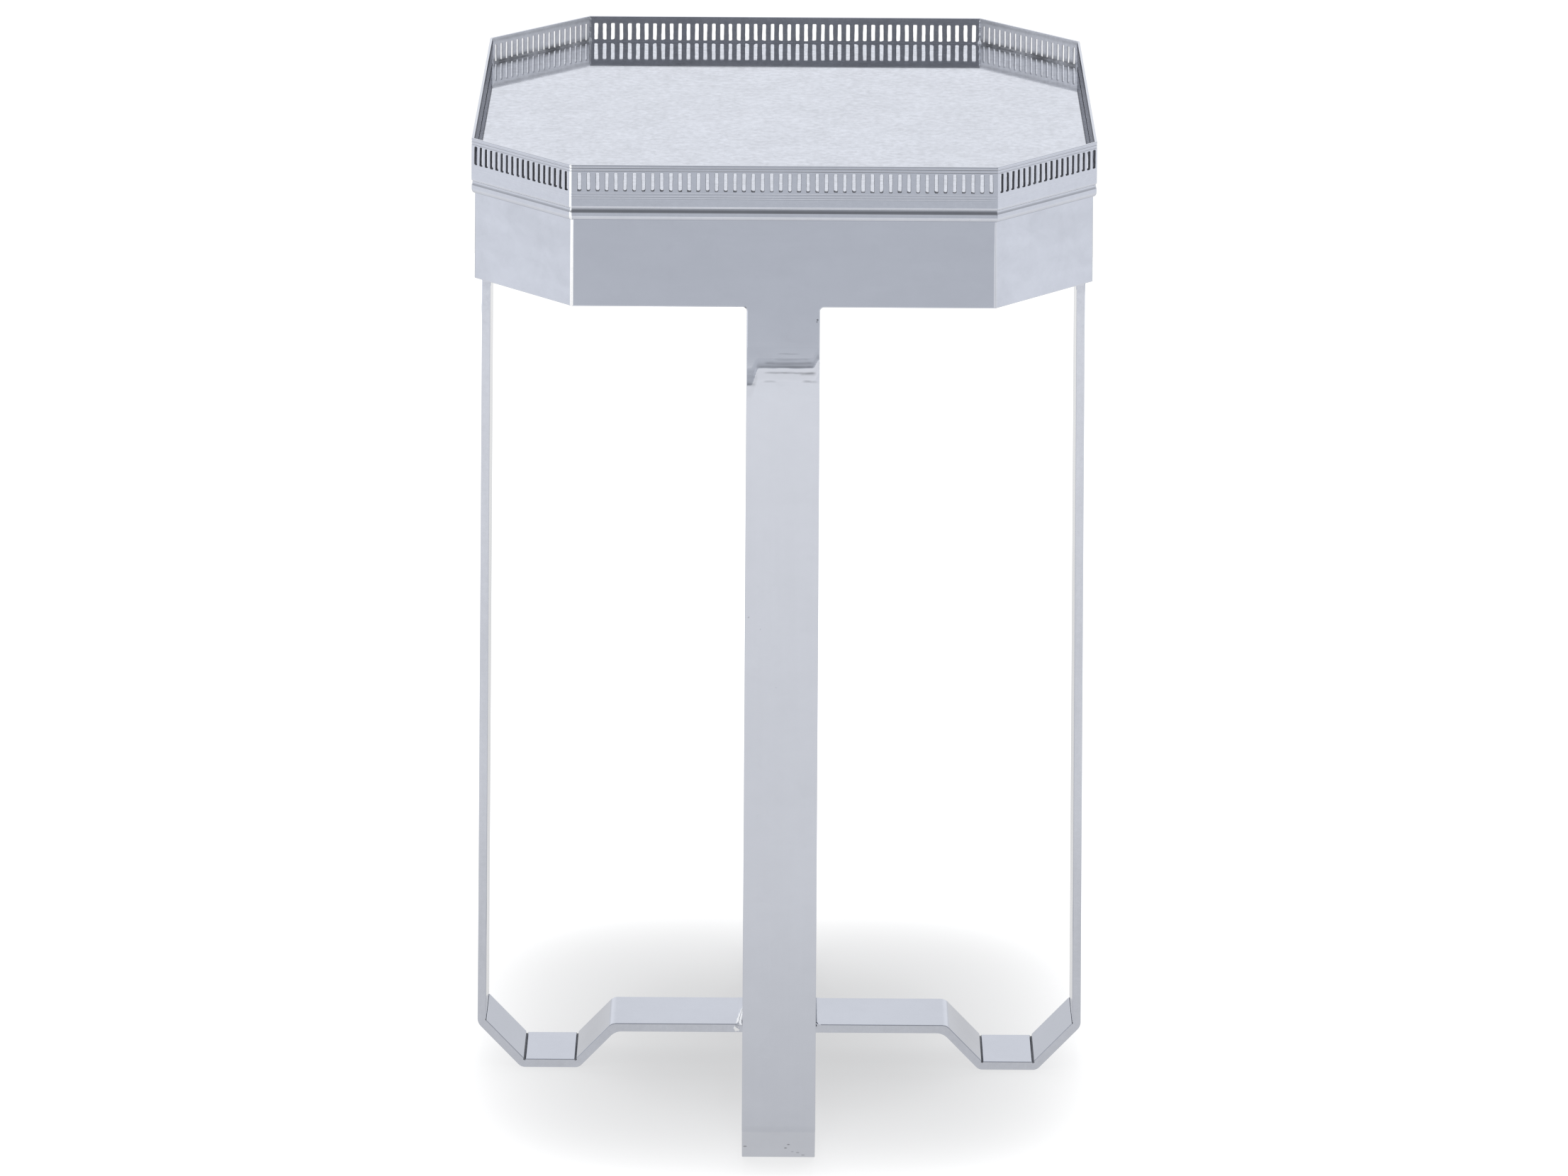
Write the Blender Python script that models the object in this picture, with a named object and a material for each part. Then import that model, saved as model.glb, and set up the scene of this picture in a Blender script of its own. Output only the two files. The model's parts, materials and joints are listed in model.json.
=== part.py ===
"""Octagonal tray table in polished nickel-finished metal.

A lift-off tray (mirror-finished floor, pierced gallery, half-round moulding)
sits like a lid over a stand: an octagonal apron of plate, and two bent
flat-bar frames that cross near the floor.

Metres, +Z up, origin on the floor at the centre of the table, front is -Y.
"""
import math

import bmesh
import bpy
from mathutils import Vector

# ---------------------------------------------------------------- dimensions
MM = 0.001

HALF_WIDTH = 216.0 * MM        # rim, centre to outer face of a long side
CHAMFER = 70.5 * MM            # how much each square corner is cut back
RIM_TOP = 688.0 * MM           # height of the gallery's top edge
GAP = 0.3 * MM                 # clearance kept between separate pieces

# Octagon: long sides face front, right, back and left; short sides between
HALF_TURN = math.radians(22.5)  # half the angle between neighbouring sides
MITRE = math.tan(HALF_TURN)     # a side's half length lost per unit of inset
LONG_EDGE = 2 * HALF_WIDTH - 2 * CHAMFER
SHORT_EDGE = CHAMFER * math.sqrt(2)
SHORT_REACH = (2 * HALF_WIDTH - CHAMFER) / math.sqrt(2)  # centre to a short side

# Tray floor
FLOOR_DROP = 18.5 * MM         # floor surface below the rim top
FLOOR_THICK = 1.5 * MM
FLOOR_TOP = RIM_TOP - FLOOR_DROP

# Pierced gallery
GALLERY_THICK = 1.7 * MM
GALLERY_FLAT = 24.0 * MM       # height of the upright pierced part
GALLERY_DROP = 27.9 * MM       # gallery's lower edge below the rim top
GALLERY_STEP = 0.4 * MM        # small step in below the upright part
GALLERY_STEP_DROP = 0.05 * MM  # height taken up by that step
GALLERY_TOE = 1.05 * MM        # how far the lower edge leans in
SLOT_TOP = 4.65 * MM           # below the rim top
SLOT_BOTTOM = 17.4 * MM
# "first" is the distance from the corner to the first slot's centre
LONG_SLOTS = {"count": 46, "slot_width": 2.9 * MM, "first": 5.2 * MM}
SHORT_SLOTS = {"count": 18, "slot_width": 2.4 * MM, "first": 5.3 * MM}

# Moulding below the gallery: (inset from the rim's face, depth below rim top)
MOULDING = [
    (1.35 * MM, 28.2 * MM), (1.40 * MM, 29.5 * MM), (1.05 * MM, 30.6 * MM),
    (0.45 * MM, 31.7 * MM), (0.22 * MM, 32.8 * MM), (0.22 * MM, 34.4 * MM),
    (0.45 * MM, 35.6 * MM), (1.05 * MM, 36.7 * MM), (2.15 * MM, 37.8 * MM),
    (2.15 * MM, 28.2 * MM),
]

# Apron
APRON_INSET = 2.5 * MM         # apron face behind the rim's face
PLATE = 6.0 * MM               # plate and bar thickness
APRON_BOTTOM = 591.2 * MM
APRON_TOP = FLOOR_TOP - FLOOR_THICK - GAP
STUB_BOTTOM = 555.8 * MM       # lower end of the stub that meets the leg
STUB_FILLET = 2.8 * MM
STUB_FILLET_STEPS = 4

# Brazing in the apron's inside corners
BRAZING_LEG = 4.5 * MM         # run along each panel
BRAZING_THROAT = 1.2 * MM      # places the hollow face's middle point
BRAZING_END = 1.0 * MM         # stops short of the apron's edges

# Bars
BAR_WIDTH = 50.0 * MM
LEG_TOP = 553.2 * MM
LEG_REACH = HALF_WIDTH - APRON_INSET
LEG_BEND = 31.0 * MM           # rise and run of the outer chamfer of a foot
FOOT_OUTER = LEG_REACH - LEG_BEND
FOOT_INNER = 141.5 * MM
STRETCHER_LOW = 25.5 * MM      # underside of the stretcher above the floor
STRETCHER_TOP = STRETCHER_LOW + PLATE
STRETCHER_BEND = FOOT_INNER - STRETCHER_LOW
BEND_RADIUS = 7.0 * MM
STRETCHER_UNDER_RADIUS = 11.0 * MM
STRETCHER_TOP_RADIUS = 7.5 * MM
BEND_STEPS = 5
FOOT_KERF = (2.3 * MM, 1.3 * MM)     # width and depth of the saw kerf
LEG_KERF = (1.1 * MM, 0.8 * MM)

# Welds
BUTT = BAR_WIDTH / 2 + GAP     # reach of a side frame's inner end
GROOVE = 4.2 * MM              # rise and run of the weld groove's chamfer
# Bead in the groove: (out from the butt end, up from the stretcher's top)
BEAD = [
    (0.0, 0.6 * MM - GROOVE), (GROOVE - 0.6 * MM, 0.0), (GROOVE - 0.3 * MM, 0.4 * MM),
    (3.0 * MM, 1.1 * MM), (1.2 * MM, 1.4 * MM), (0.0, 0.8 * MM),
]
BEAD_END = 0.5 * MM            # bead stops short of the bar's edges
LEG_WELD_OUT = 0.15 * MM       # crown of the leg weld, outer face
LEG_WELD_IN = 0.5 * MM         # crown of the leg weld, inner face

SIDES = [                      # name, turn about +Z in degrees, long side
    ("front", 0, True), ("front_right", 45, False),
    ("right", 90, True), ("back_right", 135, False),
    ("back", 180, True), ("back_left", 225, False),
    ("left", 270, True), ("front_left", 315, False),
]
CORNERS = [                    # in the order of octagon()'s points
    "front_to_front_left", "front_to_front_right",
    "right_to_front_right", "right_to_back_right",
    "back_to_back_right", "back_to_back_left",
    "left_to_back_left", "left_to_front_left",
]

# ------------------------------------------------------------------- scene
for old in list(bpy.data.objects):
    bpy.data.objects.remove(old, do_unlink=True)


def metal(name, colour, roughness):
    material = bpy.data.materials.new(name)
    material.use_nodes = True
    inputs = material.node_tree.nodes["Principled BSDF"].inputs
    inputs["Base Color"].default_value = (*colour, 1.0)
    inputs["Metallic"].default_value = 1.0
    inputs["Roughness"].default_value = roughness
    return material


FLOOR_METAL = metal("tray_floor_metal", colour=(0.74, 0.76, 0.80), roughness=0.12)
GALLERY_METAL = metal("gallery_metal", colour=(0.70, 0.71, 0.75), roughness=0.16)
MOULDING_METAL = metal("moulding_metal", colour=(0.68, 0.70, 0.74), roughness=0.15)
APRON_METAL = metal("apron_metal", colour=(0.69, 0.71, 0.75), roughness=0.14)
BAR_METAL = metal("bar_metal", colour=(0.70, 0.72, 0.76), roughness=0.15)
WELD_METAL = metal("weld_metal", colour=(0.66, 0.68, 0.72), roughness=0.28)


def empty(name, location):
    obj = bpy.data.objects.new(name, None)
    obj.empty_display_size = 0.05
    obj.location = location
    bpy.context.scene.collection.objects.link(obj)
    return obj


STAND = empty("stand_origin", (0.0, 0.0, 0.0))
TRAY = empty("tray_origin", (0.0, 0.0, FLOOR_TOP))


# ----------------------------------------------------------- mesh and placing
def mesh_from(shape, name):
    bmesh.ops.recalc_face_normals(shape, faces=shape.faces)
    mesh = bpy.data.meshes.new(name)
    shape.to_mesh(mesh)
    shape.free()
    return mesh


def loft(name, ring_a, ring_b):
    """Closed solid between two rings with the same number of points."""
    shape = bmesh.new()
    start = [shape.verts.new(point) for point in ring_a]
    end = [shape.verts.new(point) for point in ring_b]
    for i in range(len(start)):
        j = (i + 1) % len(start)
        shape.faces.new((start[i], start[j], end[j], end[i]))
    shape.faces.new(start)
    shape.faces.new(list(reversed(end)))
    return mesh_from(shape, name)


def place(name, mesh, material, parent, location=(0, 0, 0), turn=0.0):
    """Put a mesh at a world location, turned about +Z by degrees."""
    obj = bpy.data.objects.new(name, mesh)
    bpy.context.scene.collection.objects.link(obj)
    if not mesh.materials:     # several objects may share one mesh
        mesh.materials.append(material)
    obj.parent = parent
    obj.location = Vector(location) - parent.location
    obj.rotation_euler = (0.0, 0.0, math.radians(turn))


def place_around(prefix, long_mesh, short_mesh, material, parent, inset, height):
    """One piece on each of the eight sides, moved in from the rim's face by inset."""
    for side, turn, is_long in SIDES:
        reach = (HALF_WIDTH if is_long else SHORT_REACH) - inset
        angle = math.radians(turn)
        place(prefix + side, long_mesh if is_long else short_mesh, material, parent,
              (math.sin(angle) * reach, -math.cos(angle) * reach, height), turn)


# ------------------------------------------------------------ 2-D geometry
def octagon(inset, height):
    """The rim's octagon moved in by inset, from the front's left corner."""
    reach = HALF_WIDTH - inset
    half = LONG_EDGE / 2 - inset * MITRE
    return [Vector((x, y, height)) for x, y in (
        (-half, -reach), (half, -reach), (reach, -half), (reach, half),
        (half, reach), (-half, reach), (-reach, half), (-reach, -half))]


def end_run(length, inset):
    """Half length of a mitred strip at a depth, with the joint clearance."""
    return length / 2 - inset * MITRE - GAP / 2 / math.cos(HALF_TURN)


def corner_arms(before, corner, after):
    """Corner point, and unit directions from it to its two neighbours."""
    corner = Vector(corner)
    return corner, (Vector(before) - corner).normalized(), (Vector(after) - corner).normalized()


def arc_corner(before, corner, after, radius, steps):
    """Replace a corner of a 2-D outline by an arc."""
    corner, back, ahead = corner_arms(before, corner, after)
    angle = back.angle(ahead)
    run = radius / math.tan(angle / 2)
    centre = corner + (back + ahead).normalized() * (radius / math.sin(angle / 2))
    start = corner + back * run - centre
    end = corner + ahead * run - centre
    sweep = -start.angle_signed(end)   # angle_signed counts clockwise as positive
    points = []
    for k in range(steps + 1):
        cos = math.cos(sweep * k / steps)
        sin = math.sin(sweep * k / steps)
        points.append((centre.x + start.x * cos - start.y * sin,
                       centre.y + start.x * sin + start.y * cos))
    return points


def kerf_corner(before, corner, after, width, depth):
    """Replace a corner of a 2-D outline by a saw kerf cut into the metal."""
    corner, back, ahead = corner_arms(before, corner, after)
    cut = -(back + ahead).normalized() * depth
    start = corner + back * width / 2
    end = corner + ahead * width / 2
    return [tuple(point) for point in (start, start + cut, end + cut, end)]


def offset_corners(path, distance):
    """Inner corners of the parallel path on the right of the path's direction."""
    lines = []
    for start, end in zip(path, path[1:]):
        along = (Vector(end) - Vector(start)).normalized()
        lines.append((Vector(start) + Vector((along.y, -along.x)) * distance, along))
    corners = []
    for (start, along), (next_start, next_along) in zip(lines, lines[1:]):
        travel = (next_start - start).cross(next_along) / along.cross(next_along)
        corners.append(tuple(start + along * travel))
    return corners


# -------------------------------------------------------------------- tray
def build_floor():
    edge = GALLERY_THICK + GAP
    mesh = loft("tray_floor", octagon(edge, 0.0), octagon(edge, -FLOOR_THICK))
    place("tray_floor", mesh, FLOOR_METAL, TRAY, (0, 0, FLOOR_TOP))


def gallery_skin(shape, length, centres, slot_width, inset, lower_rows):
    """One face of the gallery with its slots left open.

    lower_rows holds (inset, z) below the upright part. Returns the corners of
    each slot, and the vertices down each of the two ends.
    """
    def end_pair(depth, z):
        run = end_run(length, depth)
        return shape.verts.new((-run, depth, z)), shape.verts.new((run, depth, z))

    rows = [end_pair(inset, z) for z in (0.0, -SLOT_TOP, -SLOT_BOTTOM, -GALLERY_FLAT)]
    rim, slot_top, slot_bottom, flat_end = rows
    half = slot_width / 2
    slots = [[shape.verts.new((centre + x, inset, z))
              for x, z in ((-half, -SLOT_TOP), (half, -SLOT_TOP),
                           (half, -SLOT_BOTTOM), (-half, -SLOT_BOTTOM))]
             for centre in centres]

    # Bands above and below the slots
    upper_band = [rim[0], rim[1], slot_top[1]]
    for slot in reversed(slots):
        upper_band += [slot[1], slot[0]]
    shape.faces.new(upper_band + [slot_top[0]])
    lower_band = [flat_end[1], flat_end[0], slot_bottom[0]]
    for slot in slots:
        lower_band += [slot[3], slot[2]]
    shape.faces.new(lower_band + [slot_bottom[1]])

    # Posts between the slots
    left = (slot_top[0], slot_bottom[0])
    for slot in slots:
        shape.faces.new((left[0], slot[0], slot[3], left[1]))
        left = (slot[1], slot[2])
    shape.faces.new((left[0], slot_top[1], slot_bottom[1], left[1]))

    # Part below the upright
    rows += [end_pair(depth, z) for depth, z in lower_rows]
    for upper, lower in zip(rows[3:], rows[4:]):
        shape.faces.new((upper[0], upper[1], lower[1], lower[0]))
    return slots, [[row[end] for row in rows] for end in (0, 1)]


def gallery(name, length, count, slot_width, first):
    """Pierced strip: local X along it, outer face at y = 0, +Y inwards."""
    pitch = (length - 2 * first) / (count - 1)
    centres = [-length / 2 + first + pitch * k for k in range(count)]
    shape = bmesh.new()
    outer_slots, outer_ends = gallery_skin(
        shape, length, centres, slot_width, inset=0.0,
        lower_rows=[(GALLERY_STEP, -GALLERY_FLAT - GALLERY_STEP_DROP),
                    (GALLERY_TOE, -GALLERY_DROP)])
    inner_slots, inner_ends = gallery_skin(
        shape, length, centres, slot_width, inset=GALLERY_THICK,
        lower_rows=[(GALLERY_THICK, -GALLERY_DROP)])

    # Slot walls, mitred ends, then the top and bottom edges
    for outer, inner in zip(outer_slots, inner_slots):
        for k in range(4):
            j = (k + 1) % 4
            shape.faces.new((outer[k], outer[j], inner[j], inner[k]))
    for outer, inner in zip(outer_ends, inner_ends):
        shape.faces.new(outer + list(reversed(inner)))
    (outer_left, outer_right), (inner_left, inner_right) = outer_ends, inner_ends
    shape.faces.new((outer_left[0], inner_left[0], inner_right[0], outer_right[0]))
    shape.faces.new((outer_left[-1], outer_right[-1], inner_right[-1], inner_left[-1]))
    return mesh_from(shape, name)


def build_gallery():
    place_around("gallery_", gallery("gallery_long", LONG_EDGE, **LONG_SLOTS),
                 gallery("gallery_short", SHORT_EDGE, **SHORT_SLOTS),
                 GALLERY_METAL, TRAY, inset=0.0, height=RIM_TOP)


def moulding(name, length):
    return loft(name, *([(sign * end_run(length, inset), inset, -depth)
                         for inset, depth in MOULDING] for sign in (-1, 1)))


def build_moulding():
    place_around("moulding_", moulding("moulding_long", LONG_EDGE),
                 moulding("moulding_short", SHORT_EDGE),
                 MOULDING_METAL, TRAY, inset=0.0, height=RIM_TOP)


# ------------------------------------------------------------ stand: apron
def apron_outline(run, with_stub):
    """Outline in the panel's plane, for a half length at one depth."""
    outline = [(-run, APRON_TOP), (run, APRON_TOP), (run, APRON_BOTTOM)]
    if with_stub:
        half = BAR_WIDTH / 2
        outline += arc_corner((run, APRON_BOTTOM), (half, APRON_BOTTOM), (half, STUB_BOTTOM),
                              STUB_FILLET, STUB_FILLET_STEPS)
        outline += [(half, STUB_BOTTOM), (-half, STUB_BOTTOM)]
        outline += arc_corner((-half, STUB_BOTTOM), (-half, APRON_BOTTOM), (-run, APRON_BOTTOM),
                              STUB_FILLET, STUB_FILLET_STEPS)
    outline.append((-run, APRON_BOTTOM))
    return outline


def apron(name, edge, with_stub):
    """Local X along the panel, outer face at y = 0, +Y inwards."""
    length = edge - 2 * APRON_INSET * MITRE
    return loft(name, *([(x, depth, z - APRON_TOP)
                         for x, z in apron_outline(end_run(length, depth), with_stub)]
                        for depth in (0.0, PLATE)))


def build_apron():
    place_around("apron_", apron("apron_long", LONG_EDGE, with_stub=True),
                 apron("apron_short", SHORT_EDGE, with_stub=False),
                 APRON_METAL, STAND, inset=APRON_INSET, height=APRON_TOP)


def build_brazing():
    """Fillets up the inside of the eight apron corners."""
    inner = octagon(APRON_INSET + PLATE + GAP, 0.0)
    low = Vector((0, 0, APRON_BOTTOM + BRAZING_END))
    high = Vector((0, 0, APRON_TOP - BRAZING_END))
    for k, corner in enumerate(inner):
        _, back, ahead = corner_arms(inner[k - 1], corner, inner[(k + 1) % 8])
        section = [Vector((0, 0, 0)), back * BRAZING_LEG,
                   (back + ahead) * BRAZING_THROAT, ahead * BRAZING_LEG]
        name = "brazing_" + CORNERS[k]
        mesh = loft(name, [point + low for point in section],
                    [point + high for point in section])
        place(name, mesh, WELD_METAL, STAND, corner)


# ------------------------------------------------------------- stand: bars
def half_profile(inner_end):
    """Under face and top face of one half frame, from its leg's top inwards."""
    under = [(LEG_REACH, LEG_TOP), (LEG_REACH, LEG_BEND), (FOOT_OUTER, 0.0),
             (FOOT_INNER, 0.0), (STRETCHER_BEND, STRETCHER_LOW), (inner_end, STRETCHER_LOW)]
    top = [(LEG_REACH - PLATE, LEG_TOP), *offset_corners(under, PLATE),
           (inner_end, STRETCHER_TOP)]
    under_face = [under[0]]
    radii = (BEND_RADIUS, BEND_RADIUS, BEND_RADIUS, STRETCHER_UNDER_RADIUS)
    for k, radius in enumerate(radii):
        under_face += arc_corner(*under[k:k + 3], radius, BEND_STEPS)
    under_face.append(under[-1])
    top_face = [top[0]]
    for k, (width, depth) in enumerate((LEG_KERF, FOOT_KERF, FOOT_KERF)):
        top_face += kerf_corner(*top[k:k + 3], width, depth)
    top_face += arc_corner(*top[3:6], STRETCHER_TOP_RADIUS, BEND_STEPS)
    top_face.append(top[-1])
    return under_face, top_face


def bar_from(name, outline, half_width=BAR_WIDTH / 2):
    """Outline is (reach, height); local -Y is outwards, width along X."""
    return loft(name, *([(x, -reach, z) for reach, z in outline]
                        for x in (-half_width, half_width)))


def place_left_and_right(prefix, mesh, material):
    for side, turn in (("right", 90), ("left", 270)):
        place(prefix + side, mesh, material, STAND, turn=turn)


def build_through_frame():
    """The front-to-back frame is one bent bar that runs through."""
    under, top = half_profile(0.0)
    outline = under[:-1] + [(-reach, z) for reach, z in reversed(under[:-1])]
    outline += [(-reach, z) for reach, z in top[:-1]] + list(reversed(top[:-1]))
    place("frame_front_back", bar_from("frame_front_back", outline), BAR_METAL, STAND)


def build_side_frames():
    """Two bent bars butted against the through frame, with a weld groove on top."""
    under, top = half_profile(BUTT)
    groove = [(BUTT, STRETCHER_TOP - GROOVE), (BUTT + GROOVE, STRETCHER_TOP)]
    outline = under + groove + list(reversed(top[:-1]))
    place_left_and_right("frame_", bar_from("side_bar", outline), BAR_METAL)


def build_stretcher_welds():
    """Beads that fill the two grooves, a little proud of the bars."""
    section = [(BUTT + out, STRETCHER_TOP + up) for out, up in BEAD]
    mesh = bar_from("stretcher_weld", section, half_width=BAR_WIDTH / 2 - BEAD_END)
    place_left_and_right("stretcher_weld_", mesh, WELD_METAL)


def build_leg_welds():
    """Butt welds between each apron stub and its leg, nearly flush."""
    low, high = LEG_TOP + GAP, STUB_BOTTOM - GAP
    middle = (low + high) / 2
    inner = LEG_REACH - PLATE
    section = [(LEG_REACH, low), (LEG_REACH + LEG_WELD_OUT, middle), (LEG_REACH, high),
               (inner, high), (inner - LEG_WELD_IN, middle), (inner, low)]
    mesh = bar_from("leg_weld", section)
    for side, turn, is_long in SIDES:
        if is_long:
            place("leg_weld_" + side, mesh, WELD_METAL, STAND, turn=turn)


build_floor()
build_gallery()
build_moulding()
build_apron()
build_brazing()
build_through_frame()
build_side_frames()
build_stretcher_welds()
build_leg_welds()

bpy.context.view_layer.update()
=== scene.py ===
"""Looks of the octagonal tray table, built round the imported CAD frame.

Every visible solid of the frame is replaced by a finer mesh in the same place:
pierced and reeded gallery strips, drawn mouldings, eased plates, bent bars with
saw kerfs, and uneven welds. All materials are procedural polished metal.
"""
import math
import random
import json

import bmesh
import bpy
from mathutils import Matrix, Quaternion, Vector

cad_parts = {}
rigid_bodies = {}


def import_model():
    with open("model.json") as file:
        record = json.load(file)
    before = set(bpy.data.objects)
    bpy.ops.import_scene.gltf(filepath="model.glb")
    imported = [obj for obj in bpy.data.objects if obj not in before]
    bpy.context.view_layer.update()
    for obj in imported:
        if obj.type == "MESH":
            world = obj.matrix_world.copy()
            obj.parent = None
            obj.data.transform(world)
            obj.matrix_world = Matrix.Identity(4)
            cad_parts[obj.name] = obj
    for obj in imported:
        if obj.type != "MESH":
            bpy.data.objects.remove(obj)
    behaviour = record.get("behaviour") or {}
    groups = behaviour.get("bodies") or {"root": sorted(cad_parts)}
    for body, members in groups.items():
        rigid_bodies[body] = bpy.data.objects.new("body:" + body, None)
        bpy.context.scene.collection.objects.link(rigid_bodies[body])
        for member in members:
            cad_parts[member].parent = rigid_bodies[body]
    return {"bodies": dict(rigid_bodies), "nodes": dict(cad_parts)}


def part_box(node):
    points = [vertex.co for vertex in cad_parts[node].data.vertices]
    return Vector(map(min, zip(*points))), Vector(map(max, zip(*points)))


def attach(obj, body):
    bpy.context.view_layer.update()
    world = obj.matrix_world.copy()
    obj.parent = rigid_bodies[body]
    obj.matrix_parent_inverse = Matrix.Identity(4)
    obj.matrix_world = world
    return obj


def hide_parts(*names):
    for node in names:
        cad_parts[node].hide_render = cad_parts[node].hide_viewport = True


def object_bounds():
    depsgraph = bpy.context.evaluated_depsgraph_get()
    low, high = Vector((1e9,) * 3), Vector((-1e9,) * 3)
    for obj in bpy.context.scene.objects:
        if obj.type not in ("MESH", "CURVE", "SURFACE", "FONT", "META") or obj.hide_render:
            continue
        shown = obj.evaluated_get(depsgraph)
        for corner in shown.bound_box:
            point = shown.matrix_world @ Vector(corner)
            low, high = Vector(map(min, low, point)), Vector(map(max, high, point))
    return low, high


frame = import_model()
cad_low, cad_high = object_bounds()
scene = bpy.context.scene
MM = 0.001
MITRE = math.tan(math.radians(22.5))

# ------------------------------------------------------- sizes from the frame
HALF = cad_high.x                                   # centre to the rim's face
TOP = cad_high.z                                    # rim top
g_lo, g_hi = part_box("gallery_front")
JOINT = 0.15 * MM / math.cos(math.radians(22.5))
LONG = (g_hi.x - g_lo.x) + 2 * JOINT                # long side at the rim's face
CHAMFER = (2 * HALF - LONG) / 2
SHORT = CHAMFER * math.sqrt(2)
SHORT_REACH = (2 * HALF - CHAMFER) / math.sqrt(2)
GAL_THICK = g_hi.y - g_lo.y
m_lo, m_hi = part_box("moulding_front")
MOULD_BOTTOM = TOP - m_lo.z
f_lo, f_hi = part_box("tray_floor")
FLOOR_Z = f_hi.z
a_lo, a_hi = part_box("apron_front")
APRON_INSET = a_lo.y + HALF
PLATE = a_hi.y - a_lo.y
APRON_TOP = a_hi.z
STUB_BOTTOM = a_lo.z
APRON_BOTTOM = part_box("apron_front_left")[0].z
b_lo, b_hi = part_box("frame_front_back")
REACH = b_hi.y
LEG_TOP = b_hi.z
WIDTH = b_hi.x - b_lo.x
STRETCH_LOW = 25.5 * MM
FOOT_BEND = 31.0 * MM
FOOT_INNER = 141.5 * MM

SIDES = [("front", 0, True), ("front_right", 45, False), ("right", 90, True),
         ("back_right", 135, False), ("back", 180, True), ("back_left", 225, False),
         ("left", 270, True), ("front_left", 315, False)]


# ------------------------------------------------------------- mesh helpers
def to_object(bm, name, location=(0, 0, 0), turn=0.0, smooth=38.0, doubles=1.5e-6, weighted=True):
    bmesh.ops.remove_doubles(bm, verts=bm.verts, dist=doubles)
    bmesh.ops.dissolve_degenerate(bm, dist=5e-7, edges=bm.edges)
    bmesh.ops.recalc_face_normals(bm, faces=bm.faces)
    mesh = bpy.data.meshes.new(name)
    bm.to_mesh(mesh)
    bm.free()
    mesh.shade_smooth()
    mesh.set_sharp_from_angle(angle=math.radians(smooth))
    obj = bpy.data.objects.new(name, mesh)
    scene.collection.objects.link(obj)
    obj.location = location
    obj.rotation_euler = (0, 0, math.radians(turn))
    if weighted:
        m = obj.modifiers.new("face_normals", "WEIGHTED_NORMAL")
        m.mode = "FACE_AREA"
        m.weight = 50
        m.keep_sharp = True
    return obj


def on_side(turn, is_long, inset, height):
    reach = (HALF if is_long else SHORT_REACH) - inset
    a = math.radians(turn)
    return (math.sin(a) * reach, -math.cos(a) * reach, height)


def finish_piece(obj, body, nodes, mats):
    for m in mats:
        obj.data.materials.append(m)
    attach(obj, body)
    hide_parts(*nodes)
    return obj


def rings_to_bm(rings, bm=None, caps=True, mat=0):
    """Closed solid through rings of equally many points."""
    bm = bm or bmesh.new()
    rows = [[bm.verts.new(p) for p in ring] for ring in rings]
    n = len(rows[0])
    for a, b in zip(rows, rows[1:]):
        for i in range(n):
            j = (i + 1) % n
            f = bm.faces.new((a[i], a[j], b[j], b[i]))
            f.material_index = mat
    if caps:
        bm.faces.new(rows[0]).material_index = mat
        bm.faces.new(list(reversed(rows[-1]))).material_index = mat
    return bm, rows


def corner_section(length, d, radius, phi):
    """x and inset of a point at inset d on a rounded mitred end, at angle phi."""
    clear = 0.012 * MM
    xc = length / 2 - radius * MITRE
    if d >= radius:
        return length / 2 - d * MITRE - clear, d
    return xc + (radius - d) * math.sin(phi) - clear, radius - (radius - d) * math.cos(phi)


def smooth01(t):
    t = min(1.0, max(0.0, t))
    return t * t * (3 - 2 * t)


# ---------------------------------------------------------------- materials
def new_tree(name):
    mat = bpy.data.materials.new(name)
    mat.use_nodes = True
    nt = mat.node_tree
    return mat, nt, nt.nodes["Principled BSDF"]


def node(nt, kind, **values):
    n = nt.nodes.new(kind)
    for k, v in values.items():
        setattr(n, k, v)
    return n


def math_node(nt, op, a, b=None, clamp=False):
    n = node(nt, "ShaderNodeMath", operation=op, use_clamp=clamp)
    for i, v in enumerate((a, b)):
        if v is None:
            continue
        if isinstance(v, (int, float)):
            n.inputs[i].default_value = v
        else:
            nt.links.new(v, n.inputs[i])
    return n.outputs[0]


def noise(nt, coord, scale, stretch=(1, 1, 1), detail=2.0, rough=0.5, distortion=0.0, offset=(0, 0, 0)):
    mp = node(nt, "ShaderNodeMapping")
    mp.inputs["Scale"].default_value = stretch
    mp.inputs["Location"].default_value = offset
    nt.links.new(coord, mp.inputs["Vector"])
    n = node(nt, "ShaderNodeTexNoise")
    n.inputs["Scale"].default_value = scale
    n.inputs["Detail"].default_value = detail
    n.inputs["Roughness"].default_value = rough
    n.inputs["Distortion"].default_value = distortion
    nt.links.new(mp.outputs[0], n.inputs["Vector"])
    return n.outputs["Fac"]


def ramp(nt, value, low, high, out_low=0.0, out_high=1.0):
    n = node(nt, "ShaderNodeMapRange")
    n.clamp = True
    n.interpolation_type = "SMOOTHSTEP"
    for key, v in (("From Min", low), ("From Max", high), ("To Min", out_low), ("To Max", out_high)):
        n.inputs[key].default_value = v
    nt.links.new(value, n.inputs["Value"])
    return n.outputs["Result"]


def mix_colour(nt, fac, a, b):
    n = node(nt, "ShaderNodeMix", data_type="RGBA")
    if isinstance(fac, float):
        n.inputs["Factor"].default_value = fac
    else:
        nt.links.new(fac, n.inputs["Factor"])
    for key, v in (("A", a), ("B", b)):
        sock = [s for s in n.inputs if s.name == key and s.type == "RGBA"][0]
        if isinstance(v, tuple):
            sock.default_value = (*v, 1.0)
        else:
            nt.links.new(v, sock)
    return [s for s in n.outputs if s.type == "RGBA"][0]


BASE = (0.586, 0.606, 0.666)
TARNISH = (0.20, 0.205, 0.225)


def scaled(colour, k):
    return tuple(min(1.0, c * k) for c in colour)


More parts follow.
